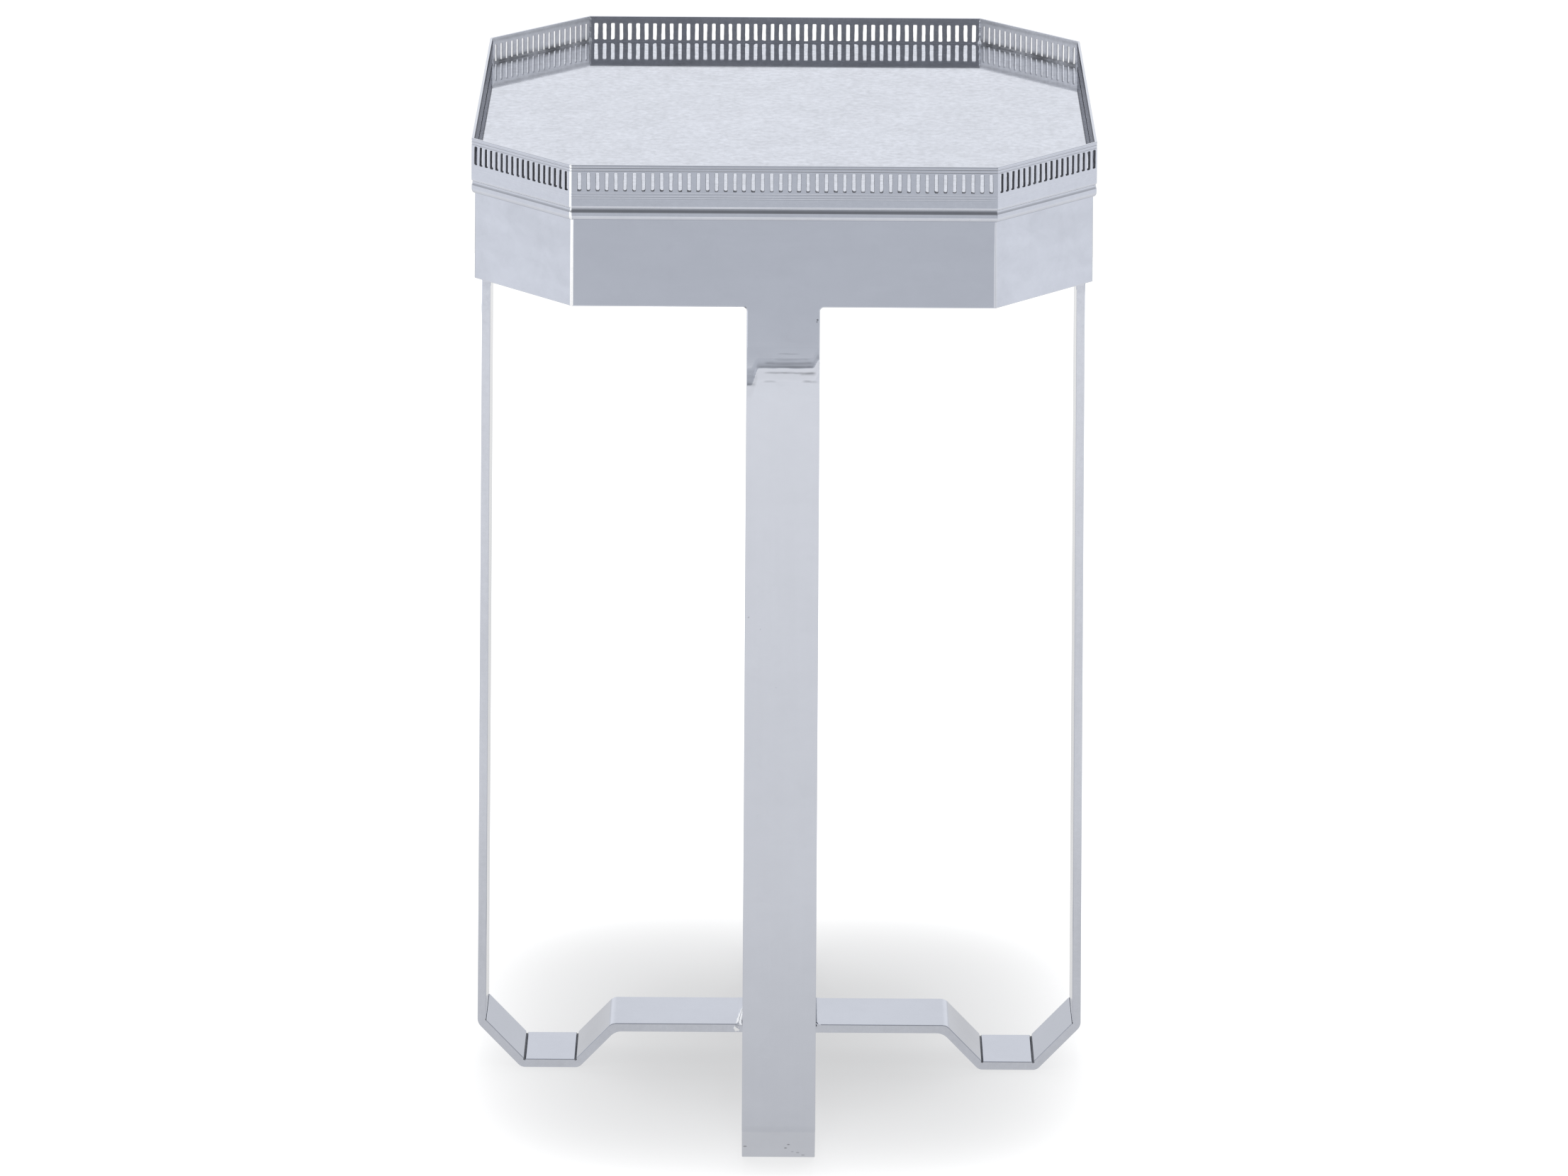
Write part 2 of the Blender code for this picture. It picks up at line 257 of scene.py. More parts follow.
def polished(name, base=BASE, rough=0.11, grain="X", wave=0.00003, wave_scale=26.0,
             grain_amp=0.0000006, use_uv=False, seed=0.0, streak=0.03, tarnish=0.35,
             spots=None, mottle=0.0, mottle_scale=190.0, scratches=1.0, edge_tint=None,
             mottle_x=0.62, painted_shade_bands=()):
    """Polished metal: soft waviness, fine grain along one axis, rubbed scratches,
    cloudy roughness and colour, and small tarnished specks; where asked,
    painted shade as soft dark bands along X."""
    mat, nt, bsdf = new_tree(name)
    tc = node(nt, "ShaderNodeTexCoord")
    coord = tc.outputs["UV"] if use_uv else tc.outputs["Object"]
    along = {"X": (1, 40, 40), "Y": (40, 1, 40), "Z": (40, 40, 1)}[grain]
    off = (seed, seed * 0.37, seed * 0.71)

    waves = noise(nt, coord, wave_scale, detail=1.2, rough=0.45, offset=off)
    cloud = noise(nt, coord, 9.0, detail=4.0, rough=0.6, offset=off)
    fine_cloud = noise(nt, coord, 75.0, detail=3.0, rough=0.6, offset=off)
    grain_n = noise(nt, coord, 28.0, stretch=along, detail=5.0, rough=0.65, offset=off)
    streaks = noise(nt, coord, 7.0, stretch=tuple(a * 0.5 + 0.5 for a in along), detail=3.0,
                    rough=0.55, distortion=0.15, offset=off)
    scratch = noise(nt, coord, 17.0, stretch=tuple(a * 1.6 - 0.6 for a in along), detail=2.0,
                    rough=0.5, distortion=0.35, offset=(seed + 3.1, 1.7, 0.3))
    scratch_m = math_node(nt, "MULTIPLY", ramp(nt, scratch, 0.66, 0.78), scratches)
    speck = noise(nt, coord, 170.0, detail=1.5, offset=off)
    speck_m = ramp(nt, speck, 0.79, 0.84)

    # colour
    dark, light = scaled(base, 1.0 - streak), scaled(base, 1.0 + streak)
    col = mix_colour(nt, ramp(nt, cloud, 0.3, 0.7), dark, light)
    col = mix_colour(nt, math_node(nt, "MULTIPLY", ramp(nt, streaks, 0.35, 0.7), 0.45), col,
                     scaled(base, 1.0 + 1.4 * streak))
    col = mix_colour(nt, math_node(nt, "MULTIPLY", ramp(nt, fine_cloud, 0.55, 0.8), 0.12), col,
                     scaled(base, 0.86))
    col = mix_colour(nt, math_node(nt, "MULTIPLY", speck_m, tarnish * 0.5), col, TARNISH)
    if mottle:
        # small soft dashes, slightly longer along X, over a finer grain
        m1 = noise(nt, tc.outputs["Object"], mottle_scale, stretch=(mottle_x, 1.0, 1.0), detail=3.5, rough=0.62,
                   distortion=0.3, offset=off)
        m2 = noise(nt, tc.outputs["Object"], mottle_scale * 0.22, detail=2.0, rough=0.5, offset=off)
        both = math_node(nt, "ADD", math_node(nt, "MULTIPLY", m1, 0.75), math_node(nt, "MULTIPLY", m2, 0.25))
        shade_k = node(nt, "ShaderNodeMapRange")
        for key, v in (("From Min", 0.36), ("From Max", 0.64), ("To Min", 1.0 - mottle), ("To Max", 1.0 + mottle * 0.8)):
            shade_k.inputs[key].default_value = v
        nt.links.new(both, shade_k.inputs["Value"])
        shade_v = shade_k.outputs["Result"]
        if mottle > 0.1:
            # the scuffing shows at low angles and fades when the sheet is seen square on
            facing = node(nt, "ShaderNodeLayerWeight")
            facing.inputs["Blend"].default_value = 0.5
            w = ramp(nt, facing.outputs["Facing"], 0.35, 0.70, 0.28, 1.0)
            shade_v = math_node(nt, "ADD", math_node(nt, "MULTIPLY", math_node(nt, "SUBTRACT", shade_v, 1.0), w), 1.0)
        scale_n = node(nt, "ShaderNodeVectorMath", operation="SCALE")
        nt.links.new(col, scale_n.inputs[0])
        nt.links.new(shade_v, scale_n.inputs["Scale"])
        col = scale_n.outputs["Vector"]
    if painted_shade_bands:
        # painted shade: soft dark bands along X, (height, half height, from x, to x, strength)
        at = node(nt, "ShaderNodeSeparateXYZ")
        nt.links.new(tc.outputs["Object"], at.inputs[0])
        warp = noise(nt, tc.outputs["Object"], 90.0, detail=2.0, offset=off)
        warp = math_node(nt, "MULTIPLY", math_node(nt, "SUBTRACT", warp, 0.5), 0.0016)
        hair = noise(nt, tc.outputs["Object"], 420.0, stretch=(0.09, 1.0, 1.0), detail=2.5, rough=0.6, offset=off)
        hair = ramp(nt, hair, 0.36, 0.62, 0.55, 1.0)
        patchy = ramp(nt, noise(nt, tc.outputs["Object"], 120.0, detail=1.5, offset=off), 0.3, 0.55, 0.65, 1.0)
        hair = math_node(nt, "MULTIPLY", hair, patchy)
        for z_mid, half, x_from, x_to, strength in painted_shade_bands:
            off_line = math_node(nt, "ABSOLUTE", math_node(nt, "ADD", math_node(nt, "SUBTRACT", at.outputs["Z"], z_mid), warp))
            m = ramp(nt, off_line, 0.0, half, 1.0, 0.0)
            m = math_node(nt, "MULTIPLY", m, ramp(nt, at.outputs["X"], x_from, x_from + 0.004))
            m = math_node(nt, "MULTIPLY", m, ramp(nt, at.outputs["X"], x_to - 0.004, x_to, 1.0, 0.0))
            m = math_node(nt, "MULTIPLY", math_node(nt, "MULTIPLY", m, hair), strength)
            dim = node(nt, "ShaderNodeVectorMath", operation="SCALE")
            nt.links.new(col, dim.inputs[0])
            nt.links.new(math_node(nt, "SUBTRACT", 1.0, m), dim.inputs["Scale"])
            col = dim.outputs["Vector"]
    if edge_tint is not None:
        bsdf.inputs["Specular Tint"].default_value = (*edge_tint, 1.0)
    for centre, radius, amount in (spots or []):
        d = node(nt, "ShaderNodeVectorMath", operation="DISTANCE")
        nt.links.new(tc.outputs["Object"], d.inputs[0])
        d.inputs[1].default_value = centre
        wobble = math_node(nt, "MULTIPLY_ADD", fine_cloud, radius * 1.2)
        wobble.node.inputs[2].default_value = -radius * 0.6
        m = ramp(nt, math_node(nt, "ADD", d.outputs["Value"], wobble), radius * 0.35, radius, amount, 0.0)
        col = mix_colour(nt, m, col, TARNISH)
    nt.links.new(col, bsdf.inputs["Base Color"])
    bsdf.inputs["Metallic"].default_value = 1.0

    # roughness
    r = math_node(nt, "MULTIPLY_ADD", ramp(nt, cloud, 0.3, 0.75), 0.03)
    r.node.inputs[2].default_value = rough - 0.03
    r = math_node(nt, "ADD", r, math_node(nt, "MULTIPLY", grain_n, 0.03))
    r = math_node(nt, "ADD", r, math_node(nt, "MULTIPLY", scratch_m, 0.06))
    r = math_node(nt, "ADD", r, math_node(nt, "MULTIPLY", speck_m, 0.25), clamp=True)
    nt.links.new(r, bsdf.inputs["Roughness"])

    # relief: waviness of hand polishing, then fine grain
    b1 = node(nt, "ShaderNodeBump")
    b1.inputs["Strength"].default_value = 1.0
    b1.inputs["Distance"].default_value = wave
    nt.links.new(waves, b1.inputs["Height"])
    b2 = node(nt, "ShaderNodeBump")
    b2.inputs["Strength"].default_value = 1.0
    b2.inputs["Distance"].default_value = grain_amp * 10
    nt.links.new(math_node(nt, "ADD", grain_n, math_node(nt, "MULTIPLY", scratch_m, 0.5)), b2.inputs["Height"])
    nt.links.new(b1.outputs[0], b2.inputs["Normal"])
    last = b2
    nt.links.new(last.outputs[0], bsdf.inputs["Normal"])
    return mat


def dull(name, base, rough, seed=0.0):
    """Rough, unpolished metal inside slots, kerfs and seams. The dark base colours given to slot and kerf walls are
    painted shade; the brazing keeps its own colour.
    """
    mat, nt, bsdf = new_tree(name)
    tc = node(nt, "ShaderNodeTexCoord")
    coord = tc.outputs["Object"]
    n1 = noise(nt, coord, 320.0, detail=3.0, offset=(seed, 0, 0))
    n2 = noise(nt, coord, 60.0, detail=3.0, offset=(0, seed, 0))
    col = mix_colour(nt, ramp(nt, n2, 0.3, 0.7), scaled(base, 0.8), scaled(base, 1.2))
    nt.links.new(col, bsdf.inputs["Base Color"])
    bsdf.inputs["Metallic"].default_value = 1.0
    r = math_node(nt, "MULTIPLY_ADD", n1, 0.18)
    r.node.inputs[2].default_value = rough - 0.09
    nt.links.new(r, bsdf.inputs["Roughness"])
    b = node(nt, "ShaderNodeBump")
    b.inputs["Distance"].default_value = 0.00006
    nt.links.new(n1, b.inputs["Height"])
    nt.links.new(b.outputs[0], bsdf.inputs["Normal"])
    return mat


M_FLOOR = polished("mat_tray_floor", rough=0.05, grain="X", wave=0.000014, wave_scale=16.0,
                   grain_amp=0.0000003, streak=0.012, tarnish=0.1, mottle=0.16, mottle_scale=215.0, mottle_x=0.95, scratches=0.4)
M_GALLERY = polished("mat_gallery", rough=0.075, grain="X", wave=0.00002, wave_scale=45.0, streak=0.03,
                     mottle=0.03, mottle_scale=420.0, scratches=0.5)
# painted shade: the inside walls get a near-black edge tint, so their grazing reflections read dark
M_INNER = polished("mat_gallery_inside", base=(0.63, 0.645, 0.70), rough=0.24, grain="X", wave=0.00003,
                   wave_scale=90.0, streak=0.05, mottle=0.08, mottle_scale=500.0, seed=3.0,
                   edge_tint=(0.05, 0.05, 0.06))
# painted light: a paler copy of the inside metal for the back corner strips, with painted shade bands at the foot of
# the wall and just under the rim
M_INNER_D = polished("mat_gallery_inside_pale", base=(0.86, 0.87, 0.90), rough=0.3, grain="X", wave=0.00004,
                     wave_scale=120.0, streak=0.06, mottle=0.24, mottle_scale=400.0, mottle_x=1.0, seed=23.0,
                     painted_shade_bands=[(FLOOR_Z - TOP + 1.0 * MM, 0.0045, -0.08, 0.08, 0.78), (-2.0 * MM, 0.0022, -0.08, 0.08, 0.25)])
# painted light: paler slot walls for the back corner strips
M_SLOT_PALE = dull("mat_slot_wall_pale", (0.40, 0.41, 0.445), 0.35, 2.0)
M_MOULD = polished("mat_moulding", rough=0.075, grain="X", wave=0.00002, wave_scale=40.0, streak=0.03, seed=2.0,
                   mottle=0.025, mottle_scale=300.0, scratches=0.5)
M_APRON = polished("mat_apron", rough=0.065, grain="X", wave=0.00003, wave_scale=22.0, streak=0.02, seed=5.0,
                   mottle=0.06, mottle_scale=50.0, mottle_x=0.8, scratches=0.15, grain_amp=0.0000002)
# painted shade: near-black slot walls, so the slots read dark
M_SLOT = dull("mat_slot_wall", (0.20, 0.205, 0.225), 0.45, 1.0)
# painted shade: near-black walls in the saw kerfs and in the dips of the stretcher welds
M_KERF = dull("mat_kerf", (0.15, 0.156, 0.175), 0.5, 4.0)
M_WELD = polished("mat_weld", rough=0.16, grain="X", wave=0.00005, wave_scale=140.0, streak=0.06, seed=7.0, tarnish=0.8)
# painted highlight: near-white solder on the stretcher weld's ridge and bead, standing in for their glints
M_SOLDER_AND_HIGHLIGHT = polished("mat_solder_and_painted_highlight", base=(0.93, 0.935, 0.95), rough=0.3, wave=0.00008, wave_scale=300.0,
                    streak=0.03, seed=13.0, mottle=0.04, mottle_scale=700.0)
# painted highlight: a near-white copy of the metal for the mitre faces at the front-left corner, standing in for its
# bright reflection
M_CORNER_HIGHLIGHT = polished("mat_painted_corner_highlight", base=(0.95, 0.955, 0.97), rough=0.13, wave=0.00003, wave_scale=120.0,
                  streak=0.02, seed=29.0, mottle=0.03, mottle_scale=300.0, scratches=0.3)
M_SOLDER = polished("mat_corner_solder", base=(0.70, 0.715, 0.75), rough=0.22, wave=0.0001, wave_scale=330.0,
                    streak=0.08, seed=17.0, mottle=0.06, mottle_scale=600.0)
M_BRAZE = dull("mat_brazing", (0.42, 0.42, 0.43), 0.38, 9.0)

# ---------------------------------------------------------------- tray floor
bm = bmesh.new()


def octagon(inset, z):
    a = HALF - inset
    h = LONG / 2 - inset * MITRE
    return [Vector((x, y, z)) for x, y in ((-h, -a), (h, -a), (a, -h), (a, h),
                                          (h, a), (-h, a), (-a, h), (-a, -h))]


edge = GAL_THICK + 0.04 * MM
rings = [octagon(edge + 0.25 * MM, f_lo.z), octagon(edge, f_lo.z + 0.25 * MM)]
for k in range(0, 5):
    t = math.radians(90 * k / 4)
    rings.append(octagon(edge + 0.3 * MM * (1 - math.cos(t)), FLOOR_Z - 0.3 * MM * (1 - math.sin(t))))
rings_to_bm(rings, bm)
tray = to_object(bm, "tray_floor_sheet")
finish_piece(tray, "tray", ["tray_floor"], [M_FLOOR])

# ------------------------------------------------------------ gallery strips
# profile: (inset, depth below the rim top, True where it is part of a groove)
GROOVE_A = [(0.0, 1.28, 0), (0.10, 1.40, 1), (0.24, 1.62, 1), (0.30, 1.88, 1), (0.24, 2.14, 1), (0.10, 2.36, 1), (0.0, 2.46, 0)]
GROOVE_B = [(0.0, 3.22, 0), (0.10, 3.33, 1), (0.24, 3.55, 1), (0.30, 3.80, 1), (0.24, 4.06, 1), (0.10, 4.26, 1), (0.0, 4.36, 0)]


def fine_groove(z, depth, width=0.75):
    return [(0.0, z, 0), (depth * 0.75, z + width * 0.28, 2), (depth, z + width * 0.5, 2),
            (depth * 0.75, z + width * 0.72, 2), (0.0, z + width, 0)]


OUTER = [(0.28, 0.0, 0), (0.13, 0.05, 0), (0.03, 0.16, 0), (0.0, 0.38, 0)] + GROOVE_A + GROOVE_B
BAND_TOP = len(OUTER) - 1
OUTER += fine_groove(18.95, 0.028) + fine_groove(20.95, 0.034) + fine_groove(22.35, 0.028)
BAND_BOTTOM = BAND_TOP + 1
OUTER += [(0.01, 23.5, 0), (0.03, 24.1, 0), (0.035, 27.9, 0), (0.06, 28.3, 0), (0.12, 28.62, 0), (0.24, 28.88, 0),
          (0.46, 29.04, 0), (0.8, 29.1, 0), (0.95, 29.16, 0), (0.97, 29.3, 0), (0.97, 29.55, 0), (1.0, 29.62, 0),
          (1.36, 29.64, 0)]
LOW = 29.66
INNER = [(GAL_THICK / MM, LOW, 0), (GAL_THICK / MM, 18.95, 0), (GAL_THICK / MM, 4.36, 0),
         (GAL_THICK / MM, 0.24, 0), (GAL_THICK / MM - 0.07, 0.07, 0), (GAL_THICK / MM - 0.22, 0.0, 0)]
PROFILE = [(d * MM, z * MM, g) for d, z, g in OUTER + INNER]
IN_FIRST = len(OUTER)
IN_LOW = len(OUTER) + 1
IN_HIGH = len(OUTER) + 2
SLOT_TOP, SLOT_BOTTOM = 5.0 * MM, 17.7 * MM


def slot_outline(rnd, cx, width):
    """A hand-filed slot: nearly straight sides, blunt rounded ends, nothing quite true."""
    w0, w1 = width / 2 + rnd.uniform(-0.11, 0.11) * MM, width / 2 + rnd.uniform(-0.11, 0.11) * MM
    lean = rnd.uniform(-0.08, 0.08) * MM
    top = SLOT_TOP + rnd.uniform(-0.14, 0.16) * MM
    bot = SLOT_BOTTOM + rnd.uniform(-0.16, 0.12) * MM
    radii = [rnd.uniform(0.45, 0.95) * MM for _ in range(2)] + [rnd.uniform(0.35, 1.05) * MM for _ in range(2)]
    r_tr, r_tl, r_bl, r_br = (min(r, width / 2 - 0.15 * MM) for r in radii)
    points = []

    def corner(x, z, r, start):
        for k in range(5):
            a = math.radians(start + 22.5 * k)
            points.append((x + r * math.cos(a), z + r * math.sin(a)))

    def side(x_from, x_to, z_from, z_to, n):
        bow = rnd.uniform(-0.07, 0.07) * MM
        for k in range(1, n + 1):
            t = k / (n + 1)
            points.append((x_from + (x_to - x_from) * t + bow * math.sin(math.pi * t) + rnd.uniform(-0.055, 0.055) * MM,
                           -(z_from + (z_to - z_from) * t)))

    xr_t, xr_b = cx + w0 + lean, cx + w1 - lean
    xl_t, xl_b = cx - w0 + lean, cx - w1 - lean
    corner(xr_b - r_br, -(bot - r_br), r_br, 270)
    side(xr_b, xr_t, bot - r_br, top + r_tr, 5)
    corner(xr_t - r_tr, -(top + r_tr), r_tr, 0)
    corner(xl_t + r_tl, -(top + r_tl), r_tl, 90)
    side(xl_t, xl_b, top + r_tl, bot - r_bl, 5)
    corner(xl_b + r_bl, -(bot - r_bl), r_bl, 180)
    return points


def burr(rnd, points, cx, width, draft):
    """The file never quite squares the foot of a slot: its inner edge stays higher."""
    left, right = rnd.choice(((0.75, 0.15), (0.2, 0.8), (0.55, 0.45), (0.3, 0.25), (0.9, 0.5)))
    tight = 1 - 2 * draft / width
    z_low = min(z for _, z in points)
    out = []
    for x, z in points:
        t = min(1.0, max(0.0, (x - cx) / width + 0.5))
        lift = (left + (right - left) * t) * MM * (1 - smooth01((z - z_low) / (2.8 * MM)))
        out.append((cx + (x - cx) * tight + rnd.uniform(-0.05, 0.05) * MM, z + lift))
    return out


def grow(points, amount):
    """Moves each point of a closed outline outwards."""
    out = []
    n = len(points)
    for i in range(n):
        p, q = points[i - 1], points[(i + 1) % n]
        tx, tz = q[0] - p[0], q[1] - p[1]
        length = math.hypot(tx, tz) or 1.0
        out.append((points[i][0] + tz / length * amount, points[i][1] - tx / length * amount))
    return out


def gallery(length, count, width, first, last_gap, seed, fade=None, draft=0.08 * MM, seam=0):
    """One pierced strip, lying along X with its outer face at y = 0 and its rim at z = 0."""
    rnd = random.Random(seed)
    radius = 2.3 * MM
    xc = length / 2 - radius * MITRE
    fade_l, fade_r = rnd.uniform(3, 9) * MM, rnd.uniform(5, 16) * MM
    low_l, low_r = fade or (rnd.uniform(0.45, 0.9), rnd.uniform(0.15, 0.7))
    stations = [(-1, math.radians(22.5 * (1 - k / 4)), low_l) for k in range(5)]
    stations += [(-xc + fade_l, None, 1.0), (xc - fade_r, None, 1.0)]
    stations += [(1, math.radians(22.5 * k / 4), low_r) for k in range(5)]
    bm = bmesh.new()
    grid = []
    for st in stations:
        column = []
        for d, z, g in PROFILE:
            depth = d * (st[2] if g == 2 else 1.0)
            if st[1] is None:
                x, y = st[0], depth
            else:
                x, y = corner_section(length, depth, radius, st[1])
                x *= st[0]
            column.append(bm.verts.new((x, y, -z)))
        grid.append(column)
    n = len(PROFILE)
    last = len(grid) - 1
    first_c, last_c = 4, last - 4
    for s in range(last):
        for k in range(n):
            j = (k + 1) % n
            inside = first_c <= s < last_c
            if inside and (k == BAND_TOP or k == IN_LOW):
                continue
            f = bm.faces.new((grid[s][k], grid[s][j], grid[s + 1][j], grid[s + 1][k]))
            if IN_FIRST <= k < n - 3:
                f.material_index = 2
            # the mitre faces at the seam end take the painted corner highlight
            elif (seam < 0 and s < first_c) or (seam > 0 and s >= last_c):
                f.material_index = 3
    bm.faces.new(grid[0])
    bm.faces.new(list(reversed(grid[last])))
    # slots
    pitch = (length - first - last_gap) / (count - 1)
    outlines = []
    for k in range(count):
        cx = -length / 2 + first + pitch * k + rnd.uniform(-0.07, 0.07) * MM
        pts = slot_outline(rnd, cx, width)
        outlines.append((pts, burr(rnd, pts, cx, width, draft)))
    t = GAL_THICK
    bev = 0.13 * MM
    loops = []
    for pts, back_pts in outlines:
        rows = []
        for y, p in ((0.0, grow(pts, bev)), (bev, pts), (t - bev, back_pts), (t, grow(back_pts, bev))):
            rows.append([bm.verts.new((x, y, z)) for x, z in p])
        m = len(pts)
        for r, (a, b) in enumerate(zip(rows, rows[1:])):
            for i in range(m):
                j = (i + 1) % m
                f = bm.faces.new((a[i], a[j], b[j], b[i]))
                f.material_index = 1 if r < 2 else 2
        loops.append(rows)
    for row_key, kt, kb in ((0, BAND_TOP, BAND_BOTTOM), (3, IN_HIGH, IN_LOW)):
        edges = []

        def edge_of(a, b):
            e = bm.edges.get((a, b))
            return e or bm.edges.new((a, b))

        for s in range(first_c, last_c):
            edges.append(edge_of(grid[s][kt], grid[s + 1][kt]))
            edges.append(edge_of(grid[s][kb], grid[s + 1][kb]))
        for s in (first_c, last_c):
            edges.append(edge_of(grid[s][kt], grid[s][kb]))
        for rows in loops:
            row = rows[row_key]
            for i in range(len(row)):
                edges.append(edge_of(row[i], row[(i + 1) % len(row)]))
        filled = bmesh.ops.triangle_fill(bm, use_beauty=True, use_dissolve=False, edges=edges,
                                         normal=(0, -1 if row_key == 0 else 1, 0))
        if row_key:
            for f in filled["geom"]:
                if isinstance(f, bmesh.types.BMFace):
                    f.material_index = 2
    return bm


END_GAPS = {"front": (6.15, 4.55), "front_left": (4.4, 4.1), "front_right": (3.9, 3.1)}
for i, (side, turn, is_long) in enumerate(SIDES):
    first, last_gap = END_GAPS.get(side, (5.2, 5.2) if is_long else (4.4, 4.4))
    fade = (1.0, 0.1) if side == "front" else None
    # seam marks the front-left corner, whose mitre faces get the painted highlight
    seam = {"front": -1, "front_left": 1}.get(side, 0)
    if is_long:
        width = 2.4 if side == "front" else 2.85
        bm = gallery(LONG, 46, width * MM, first * MM, last_gap * MM, 100 + i, fade, seam=seam)
    else:
        width, draft = {"f": (2.9, 0.45), "b": (2.65, 0.5)}.get(side[0], (2.7, 0.2))
        bm = gallery(SHORT, 18, width * MM, first * MM, last_gap * MM, 100 + i, fade, draft * MM, seam)
    obj = to_object(bm, f"gallery_{side}_strip", on_side(turn, is_long, 0, TOP), turn)
    # the back corner strips take the paler painted-light copies of slot wall and inside wall
    pale = side in ("back_left", "back_right")
    finish_piece(obj, "tray", [f"gallery_{side}"],
                 [M_GALLERY, M_SLOT_PALE if pale else M_SLOT, M_INNER_D if pale else M_INNER, M_CORNER_HIGHLIGHT])


# --------------------------------------------- solder in the tray's inner corners
def corner_solder(index, seed):
    rnd = random.Random(seed)
    ring_pts = [Vector(p) for p in octagon(GAL_THICK, 0.0)]
    corner, before, after = ring_pts[index], ring_pts[index - 1], ring_pts[(index + 1) % 8]
    wall_a, wall_b = (before - corner).normalized(), (after - corner).normalized()
    out = -(wall_a + wall_b).normalized()
    rings = []
    steps = 34
    height = TOP - 0.9 * MM - FLOOR_Z
    for k in range(steps + 1):
        t = k / steps
        size = (1.8 - 0.85 * smooth01(t * 4) + 0.2 * math.sin(t * 19 + seed) + rnd.uniform(-0.12, 0.12)) * MM
        size *= 1.0 - 0.75 * smooth01((t - 0.93) / 0.07)
        sa, sb = size * rnd.uniform(0.9, 1.1), size * rnd.uniform(0.9, 1.1)
        p = Vector((corner.x, corner.y, FLOOR_Z - 0.05 * MM + height * t))
        back = out * 0.25 * MM
        hollow = -out * size * rnd.uniform(0.24, 0.32)
        rings.append([p + back, p + wall_a * sa + back * 0.6, p + wall_a * sa * 0.55 + hollow * 0.45, p + hollow,
                      p + wall_b * sb * 0.55 + hollow * 0.45, p + wall_b * sb + back * 0.6])
    bm, _ = rings_to_bm(rings)
    return bm


for i, (side, turn, is_long) in enumerate(SIDES):
    obj = to_object(corner_solder(i, 60 + i), f"gallery_corner_{i + 1}_solder", smooth=70)
    obj.data.materials.append(M_SOLDER)
    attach(obj, "tray")

# ----------------------------------------------------------------- mouldings
BEAD = [(1.1, 29.70), (0.97, 29.72), (0.955, 30.05), (0.92, 30.4), (0.86, 30.75), (0.775, 31.07), (0.66, 31.38),
        (0.52, 31.68), (0.37, 31.95), (0.26, 32.12), (0.205, 32.26), (0.185, 32.5), (0.185, 34.6), (0.20, 35.0),
        (0.255, 35.42), (0.345, 35.88), (0.47, 36.3), (0.65, 36.7), (0.92, 37.08), (1.28, 37.4), (1.68, 37.63),
        (1.98, 37.74), (2.14, 37.785), (2.19, 37.7), (2.19, 29.70)]


def moulding(length, seed, seam):
    radius = 2.8 * MM
    rnd = random.Random(seed)
    rings = []
    stations = [(-1, math.radians(22.5 * (1 - k / 5))) for k in range(6)]
    stations += [(1, math.radians(22.5 * k / 5)) for k in range(6)]
    for sign, phi in stations:
        ring = []
        for d, z in BEAD:
            x, y = corner_section(length, d * MM, radius, phi)
            ring.append((sign * x, y, -z * MM))
        rings.append(ring)
    bm, _ = rings_to_bm(rings)
    # the rounded faces at the seam end take the painted corner highlight
    if seam:
        for f in bm.faces:
            if f.calc_center_median().x * seam > length / 2 - radius * MITRE:
                f.material_index = 1
    return bm


for i, (side, turn, is_long) in enumerate(SIDES):
    # seam marks the front-left corner, whose mitre faces get the painted highlight
    seam = {"front": -1, "front_left": 1}.get(side, 0)
    obj = to_object(moulding(LONG if is_long else SHORT, i, seam), f"moulding_{side}_bead",
                    on_side(turn, is_long, 0, TOP), turn, smooth=50)
    finish_piece(obj, "tray", [f"moulding_{side}"], [M_MOULD, M_CORNER_HIGHLIGHT] if seam else [M_MOULD])


# --------------------------------------------------------------- apron plates
def plate_outline(x_end, e, with_stub):
    """Outline in (x, z); e is how far the eased edge has moved in."""
    top, bot = APRON_TOP - 0.02 * MM - min(e, 0.1 * MM), APRON_BOTTOM + e
    pts = [(-x_end, top), (x_end, top), (x_end, bot)]
    if with_stub:
        s, rf = WIDTH / 2, 2.8 * MM
        cx, cz = s + rf, APRON_BOTTOM - rf
        for k in range(9):
            a = math.radians(90 + 90 * k / 8)
            pts.append((cx + (rf + e) * math.cos(a), cz + (rf + e) * math.sin(a)))
        pts += [(s - e, STUB_BOTTOM + 12 * MM), (s - e, STUB_BOTTOM), (-s + e, STUB_BOTTOM),
                (-s + e, STUB_BOTTOM + 12 * MM)]
        for k in range(9):
            a = math.radians(90 * k / 8)
            pts.append((-cx + (rf + e) * math.cos(a), cz + (rf + e) * math.sin(a)))
    pts.append((-x_end, bot))
    return pts


def apron(length, with_stub, seam):
    length = length - 2 * APRON_INSET * MITRE
    radius, ease = 3.1 * MM, 0.8 * MM
    y_m = radius * (1 - math.cos(math.radians(22.5)))
    xc = length / 2 - radius * MITRE
    depths = sorted({0.0, *(radius * (1 - math.cos(math.radians(22.5 * k / 5))) for k in range(1, 6)),
                     0.1 * MM, 0.35 * MM, 0.8 * MM, PLATE - 0.8 * MM, PLATE - 0.35 * MM, PLATE - 0.1 * MM, PLATE})
    rings = []
    for y in depths:
        if y <= y_m + 1e-9:
            c = max(-1.0, min(1.0, 1 - y / radius))
            x_end = xc + radius * math.sin(math.acos(c))
        else:
            x_end = length / 2 - y * MITRE
        e = 0.0
        for depth in (y, PLATE - y):
            if depth < ease:
                e = ease - math.sqrt(max(0.0, ease ** 2 - (ease - depth) ** 2))
        rings.append([(x, y, z - APRON_TOP) for x, z in plate_outline(x_end - 0.012 * MM, e, with_stub)])
    bm, _ = rings_to_bm(rings)
    # the rounded faces at the seam end take the painted corner highlight
    if seam:
        for f in bm.faces:
            c = f.calc_center_median()
            if c.x * seam > xc and c.y < y_m and abs(f.normal.z) < 0.9:
                f.material_index = 1
    return bm


